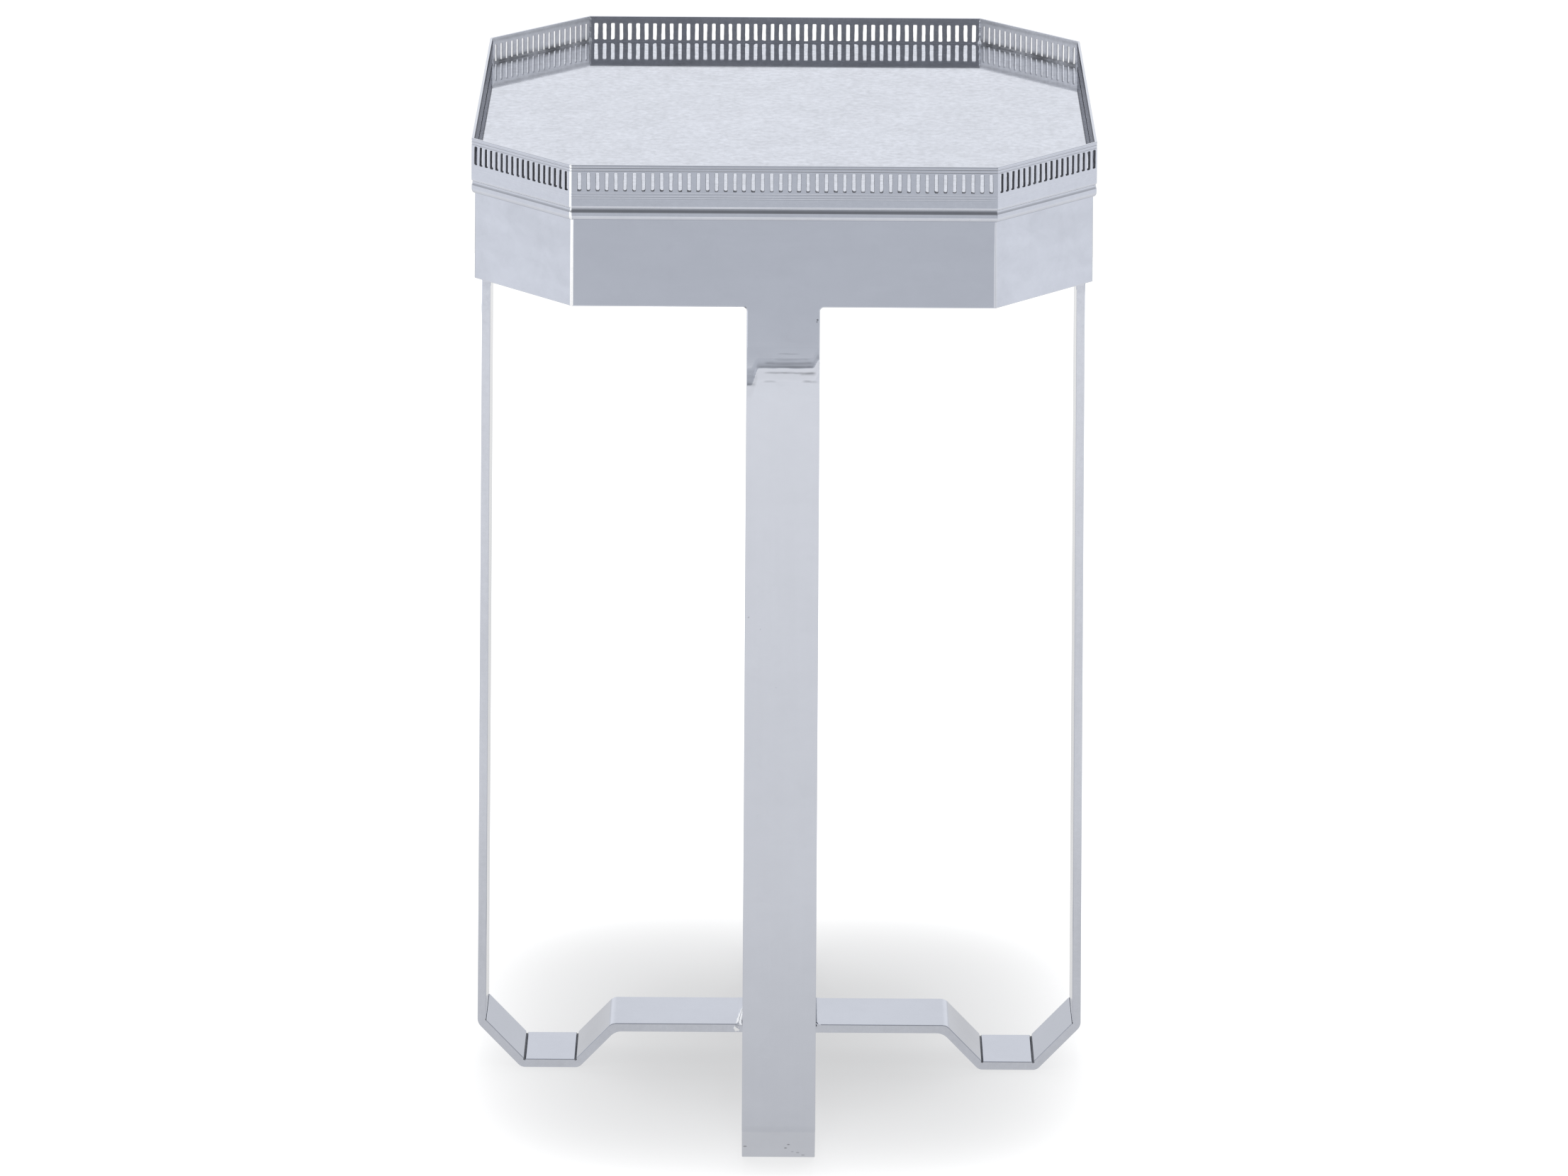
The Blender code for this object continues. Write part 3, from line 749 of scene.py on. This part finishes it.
weld_mid = (STUB_BOTTOM + LEG_TOP) / 2
M_APRON_T = polished("mat_apron_stub", rough=0.06, grain="X", wave=0.00002, wave_scale=18.0, streak=0.012,
                     seed=6.0, mottle=0.016, mottle_scale=60.0, scratches=0.1, grain_amp=0.00000003,
                     spots=[((0.0233, 0.0, APRON_BOTTOM - 8.3 * MM - APRON_TOP), 0.0010, 0.9),
                            ((0.0229, 0.0, APRON_BOTTOM - 9.6 * MM - APRON_TOP), 0.0007, 0.8),
                            ((-0.0262, 0.0, APRON_BOTTOM - 0.5 * MM - APRON_TOP), 0.0013, 0.9)])
for i, (side, turn, is_long) in enumerate(SIDES):
    # seam marks the front-left corner, whose mitre faces get the painted highlight
    seam = {"front": -1, "front_left": 1}.get(side, 0)
    obj = to_object(apron(LONG if is_long else SHORT, is_long, seam), f"apron_{side}_plate",
                    on_side(turn, is_long, APRON_INSET, APRON_TOP), turn)
    plain = M_APRON_T if is_long else M_APRON
    finish_piece(obj, "stand", [f"apron_{side}"], [plain, M_CORNER_HIGHLIGHT] if seam else [plain])


# ----------------------------------------------------------------------- bars
def arc_corner(prev, corner, nxt, radius, steps):
    u = (Vector(prev) - Vector(corner)).normalized()
    v = (Vector(nxt) - Vector(corner)).normalized()
    angle = u.angle(v)
    run = radius / math.tan(angle / 2)
    centre = Vector(corner) + (u + v).normalized() * (radius / math.sin(angle / 2))
    start = Vector(corner) + u * run - centre
    end = Vector(corner) + v * run - centre
    sweep = start.angle_signed(end)
    pts = []
    for k in range(steps + 1):
        a = -sweep * k / steps
        pts.append((centre.x + start.x * math.cos(a) - start.y * math.sin(a),
                    centre.y + start.x * math.sin(a) + start.y * math.cos(a)))
    return pts


def kerf_corner(prev, corner, nxt, width, depth):
    """A saw kerf at an inside corner. Edge k runs from point k to point k + 1; marks are edges."""
    c = Vector(corner)
    u = (Vector(prev) - c).normalized()
    v = (Vector(nxt) - c).normalized()
    into = -(u + v).normalized()
    p, q = c + u * width / 2, c + v * width / 2
    lip = min(0.18 * MM, depth * 0.4)
    floor_p, floor_q = p + into * depth, q + into * depth
    pts = [p + u * lip, p + into * lip, p + into * depth * 0.8, floor_p.lerp(floor_q, 0.25),
           floor_p.lerp(floor_q, 0.75), q + into * depth * 0.8, q + into * lip, q + v * lip]
    return [tuple(x) for x in pts], [0, 1, 1, 1, 1, 1, 0, 0]


def offset_path(points, distance):
    lines = []
    for p, q in zip(points, points[1:]):
        d = (Vector(q) - Vector(p)).normalized()
        n = Vector((-d.y, d.x)) * distance
        lines.append((Vector(p) + n, d))
    out = [lines[0][0]]
    for (p, d), (q, e) in zip(lines, lines[1:]):
        t = (q - p).cross(e) / d.cross(e)
        out.append(p + d * t)
    p, d = lines[-1]
    out.append(p + d * (Vector(points[-1]) - Vector(points[-2])).length)
    return [tuple(v) for v in out]


def half_paths(inner_end, e):
    """Lower and upper edge of one half bar, both moved e into the metal."""
    base = [(REACH, LEG_TOP), (REACH, FOOT_BEND), (REACH - FOOT_BEND, 0.0), (FOOT_INNER, 0.0),
            (FOOT_INNER - STRETCH_LOW, STRETCH_LOW), (inner_end, STRETCH_LOW)]
    low_pts = offset_path(base, -e)
    up_pts = offset_path(base, -(PLATE - e))
    low_pts[0], up_pts[0] = (REACH - e, LEG_TOP), (REACH - PLATE + e, LEG_TOP)
    low = [low_pts[0], (REACH - e, LEG_TOP - 14 * MM)]
    for k, radius in ((1, 7.5 * MM - e), (2, 7.0 * MM - e), (3, 6.5 * MM - e), (4, 11.0 * MM + e)):
        low += arc_corner(low_pts[k - 1], low_pts[k], low_pts[k + 1], radius, 12)
    low.append(low_pts[-1])
    up, marks = [up_pts[0], (REACH - PLATE + e, LEG_TOP - 14 * MM)], [0, 0]
    sink = e / math.cos(math.radians(22.5))
    for k, (width, depth) in ((1, (1.1 * MM, 0.7 * MM)), (2, (1.75 * MM, 1.3 * MM)), (3, (1.75 * MM, 1.3 * MM))):
        pts, m = kerf_corner(up_pts[k - 1], up_pts[k], up_pts[k + 1], width, max(0.04 * MM, depth - sink))
        up += pts
        marks += m
    pts = arc_corner(up_pts[3], up_pts[4], up_pts[5], 7.5 * MM - e, 12)
    up += pts + [up_pts[-1]]
    marks += [0] * (len(pts) + 1)
    return low, up, marks, base


BUTT = WIDTH / 2 + 0.06 * MM
GROOVE = 4.2 * MM
TOP_Z = STRETCH_LOW + PLATE


def outline_full(e):
    low, up, marks, base = half_paths(0.0, e)
    low, up, marks = low[:-1], up[:-1], marks[:-1]
    pts = low + [(-r, z) for r, z in reversed(low)] + [(-r, z) for r, z in up] + list(reversed(up))
    m = [0] * (2 * len(low)) + marks + list(reversed(marks[:-1])) + [0]
    run = base + [(-r, z) for r, z in reversed(base)][1:]
    return pts, m, run


def outline_butted(e):
    low, up, marks, base = half_paths(BUTT, e)
    up, marks = up[:-1], marks[:-1]
    pts = low + [(BUTT, TOP_Z - GROOVE), (BUTT + GROOVE - e, TOP_Z - e)] + list(reversed(up))
    m = [0] * (len(low) + 2) + list(reversed(marks[:-1])) + [0]
    return pts, m, base


def bar_mesh(outline):
    """Solid bar: outline in (reach, height), width along X, eased rims."""
    ease = 0.62 * MM
    half = WIDTH / 2
    steps = 4
    order = []
    for k in range(steps + 1):
        t = math.radians(90 * k / steps)
        order.append((-half + ease * (1 - math.cos(t)), ease * (1 - math.sin(t))))
    order += [(-x, e) for x, e in reversed(order)]
    flat, marks, run_pts = outline(0.0)
    bm = bmesh.new()
    uv = bm.loops.layers.uv.new("Run")
    cum = [0.0]
    for p, q in zip(run_pts, run_pts[1:]):
        cum.append(cum[-1] + (Vector(q) - Vector(p)).length)

    def run_at(p):
        best = (1e9, 0.0)
        for i, (a, b) in enumerate(zip(run_pts, run_pts[1:])):
            a, b = Vector(a), Vector(b)
            ab = b - a
            t = max(0.0, min(1.0, (Vector(p) - a).dot(ab) / ab.length_squared))
            dist = (a + ab * t - Vector(p)).length
            if dist < best[0] - 1e-6:
                best = (dist, cum[i] + ab.length * t)
        return best[1]

    runs = [run_at(p) for p in flat]
    rows = []
    for x, e in order:
        rows.append([bm.verts.new((x, -r, z)) for r, z in outline(e)[0]])
    n = len(flat)
    for a, b in zip(rows, rows[1:]):
        for i in range(n):
            j = (i + 1) % n
            f = bm.faces.new((a[i], a[j], b[j], b[i]))
            f.material_index = 1 if marks[i] else 0
            for loop, (u, v) in zip(f.loops, ((runs[i], a[i].co.x), (runs[j], a[j].co.x),
                                              (runs[j], b[j].co.x), (runs[i], b[i].co.x))):
                loop[uv].uv = (u, v)
    for row, rev in ((rows[0], False), (rows[-1], True)):
        order_ids = list(reversed(range(n))) if rev else list(range(n))
        f = bm.faces.new([row[i] for i in order_ids])
        f.material_index = 2
        for loop, i in zip(f.loops, order_ids):
            loop[uv].uv = (runs[i], 0.05 + (PLATE if i >= n // 2 else 0.0))
    return bm


foot_y = lambda z: -(REACH - FOOT_BEND + z)
bar_spots = [((x, foot_y(z), z), r, k) for x, z, r, k in (
    (0.00685, 0.0154, 0.0013, 0.85), (0.0049, 0.0115, 0.0012, 0.85), (-0.0228, 0.0131, 0.0016, 0.7),
    (0.0132, 0.0064, 0.0014, 0.45), (0.0096, 0.0073, 0.0011, 0.35), (0.0169, 0.0035, 0.0016, 0.4))]
M_BAR = polished("mat_bar", rough=0.065, grain="X", use_uv=True, wave=0.00002, wave_scale=20.0, streak=0.012,
                 seed=11.0, spots=bar_spots, tarnish=0.5, mottle=0.014, mottle_scale=60.0, scratches=0.12, grain_amp=0.0000002)
M_BAR_SIDE = polished("mat_bar_side", rough=0.065, grain="X", use_uv=True, wave=0.00002, wave_scale=20.0,
                      streak=0.015, seed=15.0, tarnish=0.5, mottle=0.015, mottle_scale=60.0, scratches=0.12)
M_EDGE = polished("mat_bar_edge", rough=0.11, grain="X", use_uv=True, wave=0.00006, wave_scale=130.0, streak=0.05,
                  seed=19.0, tarnish=0.6, mottle=0.03, mottle_scale=260.0, scratches=0.6)
obj = to_object(bar_mesh(outline_full), "frame_front_back_bar", smooth=30)
finish_piece(obj, "stand", ["frame_front_back"], [M_BAR, M_KERF, M_EDGE])
for side, turn in (("right", 90), ("left", 270)):
    obj = to_object(bar_mesh(outline_butted), f"frame_{side}_bar", turn=turn, smooth=30)
    finish_piece(obj, "stand", [f"frame_{side}"], [M_BAR_SIDE, M_KERF, M_EDGE])


# ------------------------------------------------------------- stretcher welds
def stretcher_weld(seed, full):
    """Seam in the groove beside the crossing. Local -Y is outwards; X runs along the seam.
    The full seam swells into a lump towards the front, its ridge with a painted highlight and its dip with painted
    shade; the other is flush."""
    rnd = random.Random(seed)
    rings, mats = [], []
    count = 61
    r0 = BUTT - 0.03 * MM
    for k in range(count):
        t = k / (count - 1)
        x = -WIDTH / 2 + 0.02 * MM + t * (WIDTH - 0.04 * MM)
        if full:
            w = smooth01((t - 0.15) / 0.85)                  # 1 at the front end
            wide = (0.5 + 5.3 * w + rnd.uniform(-0.12, 0.12) + 0.15 * math.sin(t * 41)) * MM
            ridge = (0.10 + 0.75 * w ** 1.3 + rnd.uniform(-0.05, 0.05)) * MM
            dip = -(0.15 + 2.3 * smooth01((t - 0.45) / 0.5)) * MM
            dip_at = (0.25 + 0.55 * w) * MM
            end = 1 - smooth01((t - 0.955) / 0.045)
            ridge, wide = ridge * end - 0.5 * MM * (1 - end), wide
        else:
            wide, ridge, dip, dip_at = 4.3 * MM, 0.02 * MM, -0.02 * MM, 0.5 * MM
            w = smooth01((0.06 - t) / 0.06)
            dip -= 1.6 * MM * w
            dip_at += 0.9 * MM * w
        outer = max(wide, GROOVE + 0.12 * MM)
        ring = [(r0, TOP_Z - 4.9 * MM), (r0 + GROOVE + 0.55 * MM, TOP_Z - 0.30 * MM), (r0 + outer, TOP_Z - 0.05 * MM),
                (r0 + wide * 0.93, TOP_Z + ridge * 0.25), (r0 + wide * 0.80, TOP_Z + ridge * 0.72),
                (r0 + wide * 0.64, TOP_Z + ridge), (r0 + wide * 0.50, TOP_Z + ridge * 0.82),
                (r0 + dip_at + 0.35 * MM, TOP_Z + min(ridge * 0.4, dip * 0.3)), (r0 + dip_at, TOP_Z + dip),
                (r0 + 0.02 * MM, TOP_Z + dip * 0.85)]
        rings.append([(x, -r, z) for r, z in ring])
    bm, _ = rings_to_bm(rings)
    bm.faces.ensure_lookup_table()
    n = len(rings[0])
    for i, f in enumerate(bm.faces):
        strip = i % n
        if full and i < n * (count - 1):
            # the dip takes the kerf's painted shade, and the ridge takes the painted highlight
            if strip in (7, 8):
                f.material_index = 1
            elif i // n > count * 0.10 and strip in (3, 4, 5, 6):
                f.material_index = 2
        # the flush weld's deeper end takes the kerf's painted shade in its dip
        elif not full and strip in (7, 8) and i // n < count * 0.06:
            f.material_index = 1
    return bm


obj = to_object(stretcher_weld(5, True), "stretcher_weld_left_seam", turn=270, smooth=50)
finish_piece(obj, "stand", ["stretcher_weld_left"], [M_BAR_SIDE, M_KERF, M_SOLDER_AND_HIGHLIGHT])
obj = to_object(stretcher_weld(6, False), "stretcher_weld_right_seam", turn=90, smooth=50)
finish_piece(obj, "stand", ["stretcher_weld_right"], [M_BAR_SIDE, M_KERF, M_SOLDER_AND_HIGHLIGHT])


# a bead of weld metal that ran over the front edge; its near-white colour is a painted highlight on the weld metal
rnd = random.Random(77)
bm = bmesh.new()
bmesh.ops.create_icosphere(bm, subdivisions=4, radius=1.0)
for v in bm.verts:
    k = 1 + 0.12 * math.sin(v.co.x * 5.1 + 1.0) * math.cos(v.co.z * 4.3) + 0.05 * math.sin(v.co.z * 9.0 + v.co.x * 4.0)
    v.co = Vector((v.co.x * 2.1, v.co.y * 0.75, v.co.z * 2.3)) * k * MM
obj = to_object(bm, "stretcher_weld_left_bead", (-BUTT - 4.9 * MM, -WIDTH / 2 - 0.02 * MM, TOP_Z - 2.9 * MM), smooth=70,
                weighted=False)
obj.data.materials.append(M_SOLDER_AND_HIGHLIGHT)
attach(obj, "stand")


# ------------------------------------------------------------------- leg welds
def leg_weld(seed, flip):
    """The ground-down weld between stub and leg: a low, uneven swelling over both."""
    rnd = random.Random(seed)
    cols, rows = 72, 116
    z_low, z_high = LEG_TOP - 26 * MM, STUB_BOTTOM + 8 * MM
    waves = [(rnd.uniform(-1, 1), rnd.uniform(0.15, 0.5), rnd.uniform(0, 6.28)) for _ in range(5)]

    def height(x, z):
        """Millimetres proud of the face; x and z in millimetres, z from the weld's middle."""
        x *= flip
        drift = sum(a * math.sin(x * f + p) for a, f, p in waves)
        drop = smooth01((-16.9 - x) / 5.0)
        crest = CREST + drift * 0.13 - 11.8 * drop + 6.5 * smooth01((x - 20.0) / 4.6)
        t = z - crest
        rise = 6.8 + 5.0 * drop
        top = 0.235 + 0.02 * math.sin(x * 0.21 + 1.0)
        h = top * max(0.0, 1 - t / rise) ** 2 if t >= 0 else top * (1 - smooth01(-t / 9.5))
        return h + 0.015

    mid = (STUB_BOTTOM + LEG_TOP) / 2
    bm = bmesh.new()
    half = WIDTH / 2 - 0.55 * MM
    front = []
    for r in range(rows + 1):
        z = z_low + (z_high - z_low) * r / rows
        front.append([bm.verts.new((-half + 2 * half * c / cols,
                                    -REACH - height((-half + 2 * half * c / cols) / MM, (z - mid) / MM) * MM, z))
                      for c in range(cols + 1)])
    for r in range(rows):
        for c in range(cols):
            bm.faces.new((front[r][c], front[r][c + 1], front[r + 1][c + 1], front[r + 1][c]))
    loop = front[0][:-1] + [row[-1] for row in front[:-1]] + front[-1][:0:-1] + [row[0] for row in front[:0:-1]]
    back = [bm.verts.new((v.co.x, -REACH + 0.5 * MM, v.co.z)) for v in loop]
    n = len(loop)
    for i in range(n):
        j = (i + 1) % n
        bm.faces.new((loop[j], loop[i], back[i], back[j]))
    bm.faces.new(list(reversed(back)))
    return bm


def leg_weld_core(seed):
    """What fills the joint itself, seen from the sides and from behind."""
    rnd = random.Random(seed)
    rings = []
    z0, z1 = LEG_TOP - 0.9 * MM, STUB_BOTTOM + 0.9 * MM
    half = WIDTH / 2 - 0.02 * MM
    ends = [(half, 0.62), (half - 0.02 * MM, 0.46), (half - 0.09 * MM, 0.27), (half - 0.22 * MM, 0.12),
            (half - 0.40 * MM, 0.03), (half - 0.60 * MM, 0.0)]
    middle = [((2 * k / 40 - 1) * (half - 1.2 * MM), 0.0) for k in range(41)]
    for x, ease in [(-x, e) for x, e in ends] + middle + list(reversed(ends)):
        back = rnd.uniform(0.1, 0.4) * MM if ease == 0.0 else 0.0
        ease *= MM
        ring = [(REACH - 0.02 * MM - ease, z0 + (z1 - z0) * s / 6) for s in range(7)]
        for s in range(7):
            u = 1 - s / 6
            ring.append((REACH - PLATE + ease + 0.06 * MM - back * math.sin(math.pi * u), z0 + (z1 - z0) * u))
        rings.append([(x, -r, z) for r, z in ring])
    bm, _ = rings_to_bm(rings)
    return bm


CREST = -4.35
w_mid = (STUB_BOTTOM + LEG_TOP) / 2 + CREST * MM
# painted shade: dark bands along the weld stand in for the dark reflections off its uneven surface
M_LEGWELD = polished("mat_leg_weld", rough=0.06, grain="X", wave=0.00002, wave_scale=18.0, streak=0.012, seed=6.0,
                     mottle=0.016, mottle_scale=60.0, scratches=0.1, grain_amp=0.00000003,
                     painted_shade_bands=[(w_mid + 9.4 * MM, 0.0007, -0.005, 0.013, 0.24), (w_mid + 5.8 * MM, 0.0011, -0.007, 0.019, 0.24),
                             (w_mid + 3.3 * MM, 0.0016, -0.014, 0.022, 0.26), (w_mid + 0.8 * MM, 0.0012, -0.018, 0.022, 0.30),
                             (w_mid - 3.3 * MM, 0.0011, -0.014, 0.0235, 0.58), (w_mid - 4.1 * MM, 0.0017, 0.010, 0.0235, 0.52),
                             (w_mid - 9.5 * MM, 0.0010, -0.0145, -0.003, 0.40), (w_mid - 9.4 * MM, 0.0012, 0.012, 0.0250, 0.46),
                             (w_mid - 7.0 * MM, 0.0075, -0.030, -0.0165, 0.30), (w_mid - 11.4 * MM, 0.0015, -0.029, -0.0175, 0.42)])
for i, (side, turn, is_long) in enumerate(SIDES):
    if is_long:
        core = to_object(leg_weld_core(20 + i), f"leg_weld_{side}_core", turn=turn, smooth=60)
        finish_piece(core, "stand", [f"leg_weld_{side}"], [M_EDGE])
        obj = to_object(leg_weld(40 + i, 1 if side == "front" else -1), f"leg_weld_{side}_seam", turn=turn, smooth=60,
                        weighted=False)
        finish_piece(obj, "stand", [f"leg_weld_{side}"], [M_LEGWELD])

# brazing inside the apron keeps its CAD shape
for name, obj in frame["nodes"].items():
    if name.startswith("brazing_"):
        obj.data.materials.clear()
        obj.data.materials.append(M_BRAZE)

# ------------------------------------------------------------------ the studio
def curve(nt, value, points):
    """Smooth value through (position, value) points."""
    r = node(nt, "ShaderNodeFloatCurve")
    c = r.mapping.curves[0]
    lo, hi = points[0][0], points[-1][0]
    top = max(v for _, v in points)
    c.points[0].location = (0.0, points[0][1] / top)
    c.points[-1].location = (1.0, points[-1][1] / top)
    for p, v in points[1:-1]:
        c.points.new((p - lo) / (hi - lo), v / top)
    for q in c.points:
        q.handle_type = "AUTO_CLAMPED"
    r.mapping.update()
    v = math_node(nt, "MULTIPLY", math_node(nt, "SUBTRACT", value, lo), 1.0 / (hi - lo), clamp=True)
    nt.links.new(v, r.inputs["Value"])
    return math_node(nt, "MULTIPLY", r.outputs[0], top)


def power(nt, value, exponent):
    return math_node(nt, "POWER", math_node(nt, "ABSOLUTE", value), exponent)


# The floor: white, with a painted soft shadow under the table in the glow the camera sees;
# mirrors in the metal see a separate painted glow, a little darker near the table and towards the back,
# as a broad overhead light would leave it.
floor_mat, nt, bsdf = new_tree("mat_studio_floor")
nt.nodes.remove(bsdf)
tc = node(nt, "ShaderNodeTexCoord")
sep = node(nt, "ShaderNodeSeparateXYZ")
nt.links.new(tc.outputs["Object"], sep.inputs[0])
fx = math_node(nt, "DIVIDE", sep.outputs["X"], 0.197)
fy = math_node(nt, "DIVIDE", math_node(nt, "SUBTRACT", sep.outputs["Y"], 0.03), 0.222)
shade = power(nt, math_node(nt, "ADD", power(nt, fx, 3.5), power(nt, fy, 3.5)), 1 / 3.5)
# painted shadow: the glow that the camera sees dips under the table
seen = curve(nt, shade, [(0, 0.52), (0.45, 0.56), (0.65, 0.62), (0.85, 0.685), (1.0, 0.76), (1.12, 0.85),
                         (1.3, 0.97), (2.0, 1.0)])
away = node(nt, "ShaderNodeVectorMath", operation="LENGTH")
nt.links.new(tc.outputs["Object"], away.inputs[0])
# painted shade: the glow that mirrors see dims near the table, and further towards the back
mirrored = curve(nt, away.outputs["Value"], [(0, 0.76), (0.20, 0.76), (0.336, 0.81), (0.425, 0.83), (0.546, 0.87),
                                             (0.75, 0.93), (1.0, 0.95), (1.34, 1.01), (1.73, 1.04), (2.04, 1.10),
                                             (2.2, 1.12)])
em_cam = node(nt, "ShaderNodeEmission")
nt.links.new(seen, em_cam.inputs["Strength"])
em_mir = node(nt, "ShaderNodeEmission")
mirrored = math_node(nt, "MULTIPLY", mirrored, ramp(nt, sep.outputs["Y"], 0.1, 0.7, 1.0, 0.80))
nt.links.new(mirrored, em_mir.inputs["Strength"])
diffuse = node(nt, "ShaderNodeBsdfDiffuse")
grain_floor = noise(nt, tc.outputs["Object"], 3.0, detail=2.0)
nt.links.new(mix_colour(nt, grain_floor, (0.265, 0.265, 0.265), (0.275, 0.275, 0.275)), diffuse.inputs["Color"])
both = node(nt, "ShaderNodeAddShader")
nt.links.new(em_cam.outputs[0], both.inputs[0])
nt.links.new(diffuse.outputs[0], both.inputs[1])
path = node(nt, "ShaderNodeLightPath")
mix = node(nt, "ShaderNodeMixShader")
nt.links.new(path.outputs["Is Camera Ray"], mix.inputs[0])
nt.links.new(em_mir.outputs[0], mix.inputs[1])
nt.links.new(both.outputs[0], mix.inputs[2])
nt.links.new(mix.outputs[0], [n for n in nt.nodes if n.type == "OUTPUT_MATERIAL"][0].inputs["Surface"])
bm = bmesh.new()
bmesh.ops.create_circle(bm, cap_ends=True, segments=128, radius=2.133)
floor = to_object(bm, "studio_floor", (0, 0, -0.0002), weighted=False)
floor.data.materials.append(floor_mat)

world = bpy.data.worlds.new("studio")
scene.world = world
world.use_nodes = True
nt = world.node_tree
nt.nodes.clear()
out = node(nt, "ShaderNodeOutputWorld")
tc = node(nt, "ShaderNodeTexCoord")
sep = node(nt, "ShaderNodeSeparateXYZ")
nt.links.new(tc.outputs["Generated"], sep.inputs[0])
X, Y, Z = sep.outputs

flat = math_node(nt, "SQRT", math_node(nt, "ADD", math_node(nt, "MULTIPLY", X, X), math_node(nt, "MULTIPLY", Y, Y)))
flat = math_node(nt, "MAXIMUM", flat, 0.001)
HX, HY = math_node(nt, "DIVIDE", X, flat), math_node(nt, "DIVIDE", Y, flat)
back = curve(nt, Z, [(-1, 0.9), (-0.3, 0.9), (-0.1, 0.88), (-0.03, 0.84), (0.03, 0.78), (0.09, 0.86), (0.16, 1.0),
                     (0.235, 1.03), (0.30, 1.0), (0.37, 0.93), (0.5, 0.9), (1, 1.0)])
front = curve(nt, Z, [(-1, 0.72), (-0.5, 0.72), (-0.246, 0.72), (-0.20, 0.62), (-0.14, 0.50), (-0.05, 0.42),
                      (0.1, 0.33), (0.3, 0.24), (0.6, 0.24), (0.8, 0.45), (0.93, 0.88), (1, 1.0)])
side = curve(nt, Z, [(-1, 1.0), (-0.4, 1.0), (-0.2, 1.0), (0.0, 0.95), (0.15, 0.75), (0.5, 0.6), (0.85, 0.8), (1, 1.0)])
w_back = ramp(nt, HY, 0.15, 0.85)
w_front = ramp(nt, math_node(nt, "MULTIPLY", HY, -1.0), 0.45, 0.93)
w_side = math_node(nt, "SUBTRACT", 1.0, math_node(nt, "ADD", w_back, w_front), clamp=True)
level = math_node(nt, "ADD", math_node(nt, "MULTIPLY", back, w_back),
                  math_node(nt, "ADD", math_node(nt, "MULTIPLY", front, w_front),
                            math_node(nt, "MULTIPLY", side, w_side)))
# a large soft box low on the front left
dot = math_node(nt, "ADD", math_node(nt, "MULTIPLY", HX, -math.sin(math.radians(44))),
                math_node(nt, "MULTIPLY", HY, -math.cos(math.radians(44))))
lobe = math_node(nt, "MULTIPLY", ramp(nt, dot, math.cos(math.radians(37)), math.cos(math.radians(24))),
                 ramp(nt, math_node(nt, "ABSOLUTE", math_node(nt, "ADD", Z, 0.1)), 0.25, 0.6, 1.0, 0.0))
level = math_node(nt, "ADD", level, math_node(nt, "MULTIPLY", lobe, 0.38))
bg_env = node(nt, "ShaderNodeBackground")
nt.links.new(mix_colour(nt, w_front, (0.985, 1.0, 1.03), (0.975, 1.0, 1.045)), bg_env.inputs["Color"])
nt.links.new(level, bg_env.inputs["Strength"])
bg_cam = node(nt, "ShaderNodeBackground")
bg_cam.inputs["Color"].default_value = (1.05, 1.05, 1.05, 1)
path = node(nt, "ShaderNodeLightPath")
mix = node(nt, "ShaderNodeMixShader")
nt.links.new(path.outputs["Is Camera Ray"], mix.inputs[0])
nt.links.new(bg_env.outputs[0], mix.inputs[1])
nt.links.new(bg_cam.outputs[0], mix.inputs[2])
nt.links.new(mix.outputs[0], out.inputs["Surface"])

lamp = bpy.data.lights.new("overhead_softbox", "AREA")
lamp.shape = "DISK"
lamp.size = 1.2
lamp.energy = 60.0
lamp_obj = bpy.data.objects.new("overhead_softbox", lamp)
lamp_obj.location = (0.0, -0.25, 6.0)
lamp_obj.visible_glossy = False
scene.collection.objects.link(lamp_obj)

# ------------------------------------------------------------------ the camera
rig = bpy.data.objects.new("camera_rig", None)
rig.location = (0.0, -4.8821, 1.887)
rig.rotation_mode = "QUATERNION"
rig.rotation_quaternion = Quaternion((1, 0, 0), math.radians(90)) @ Quaternion((0, 0, 1), 0.00604)
scene.collection.objects.link(rig)
cam = bpy.data.cameras.new("camera")
cam.sensor_width = 36.0
cam.lens = 9677.0 / 2212.0 * 36.0
cam_obj = bpy.data.objects.new("camera", cam)
cam_obj.parent = rig
scene.collection.objects.link(cam_obj)
scene.camera = cam_obj


def shift_driver(channel, value, per_lift=0.0):
    """The lens is shifted only while the camera sits on its rig."""
    d = cam.driver_add(channel).driver
    d.type = "SCRIPTED"
    for i, axis in enumerate("xyz"):
        v = d.variables.new()
        v.name = axis
        v.targets[0].id = cam_obj
        v.targets[0].data_path = f"location[{i}]"
    v = d.variables.new()
    v.name = "lift"
    v.type = "TRANSFORMS"
    v.targets[0].id = frame["bodies"]["tray"]
    v.targets[0].transform_type = "LOC_Z"
    d.expression = f"({value} + {per_lift} * lift) if abs(x) + abs(y) + abs(z) < 0.01 else 0.0"


shift_driver("shift_x", -0.00696)
shift_driver("shift_y", -1.39303, 0.45)

scene.view_settings.view_transform = "Standard"
scene.view_settings.look = "None"
scene.view_settings.exposure = 0.0
scene.view_settings.gamma = 1.0

bpy.context.view_layer.update()
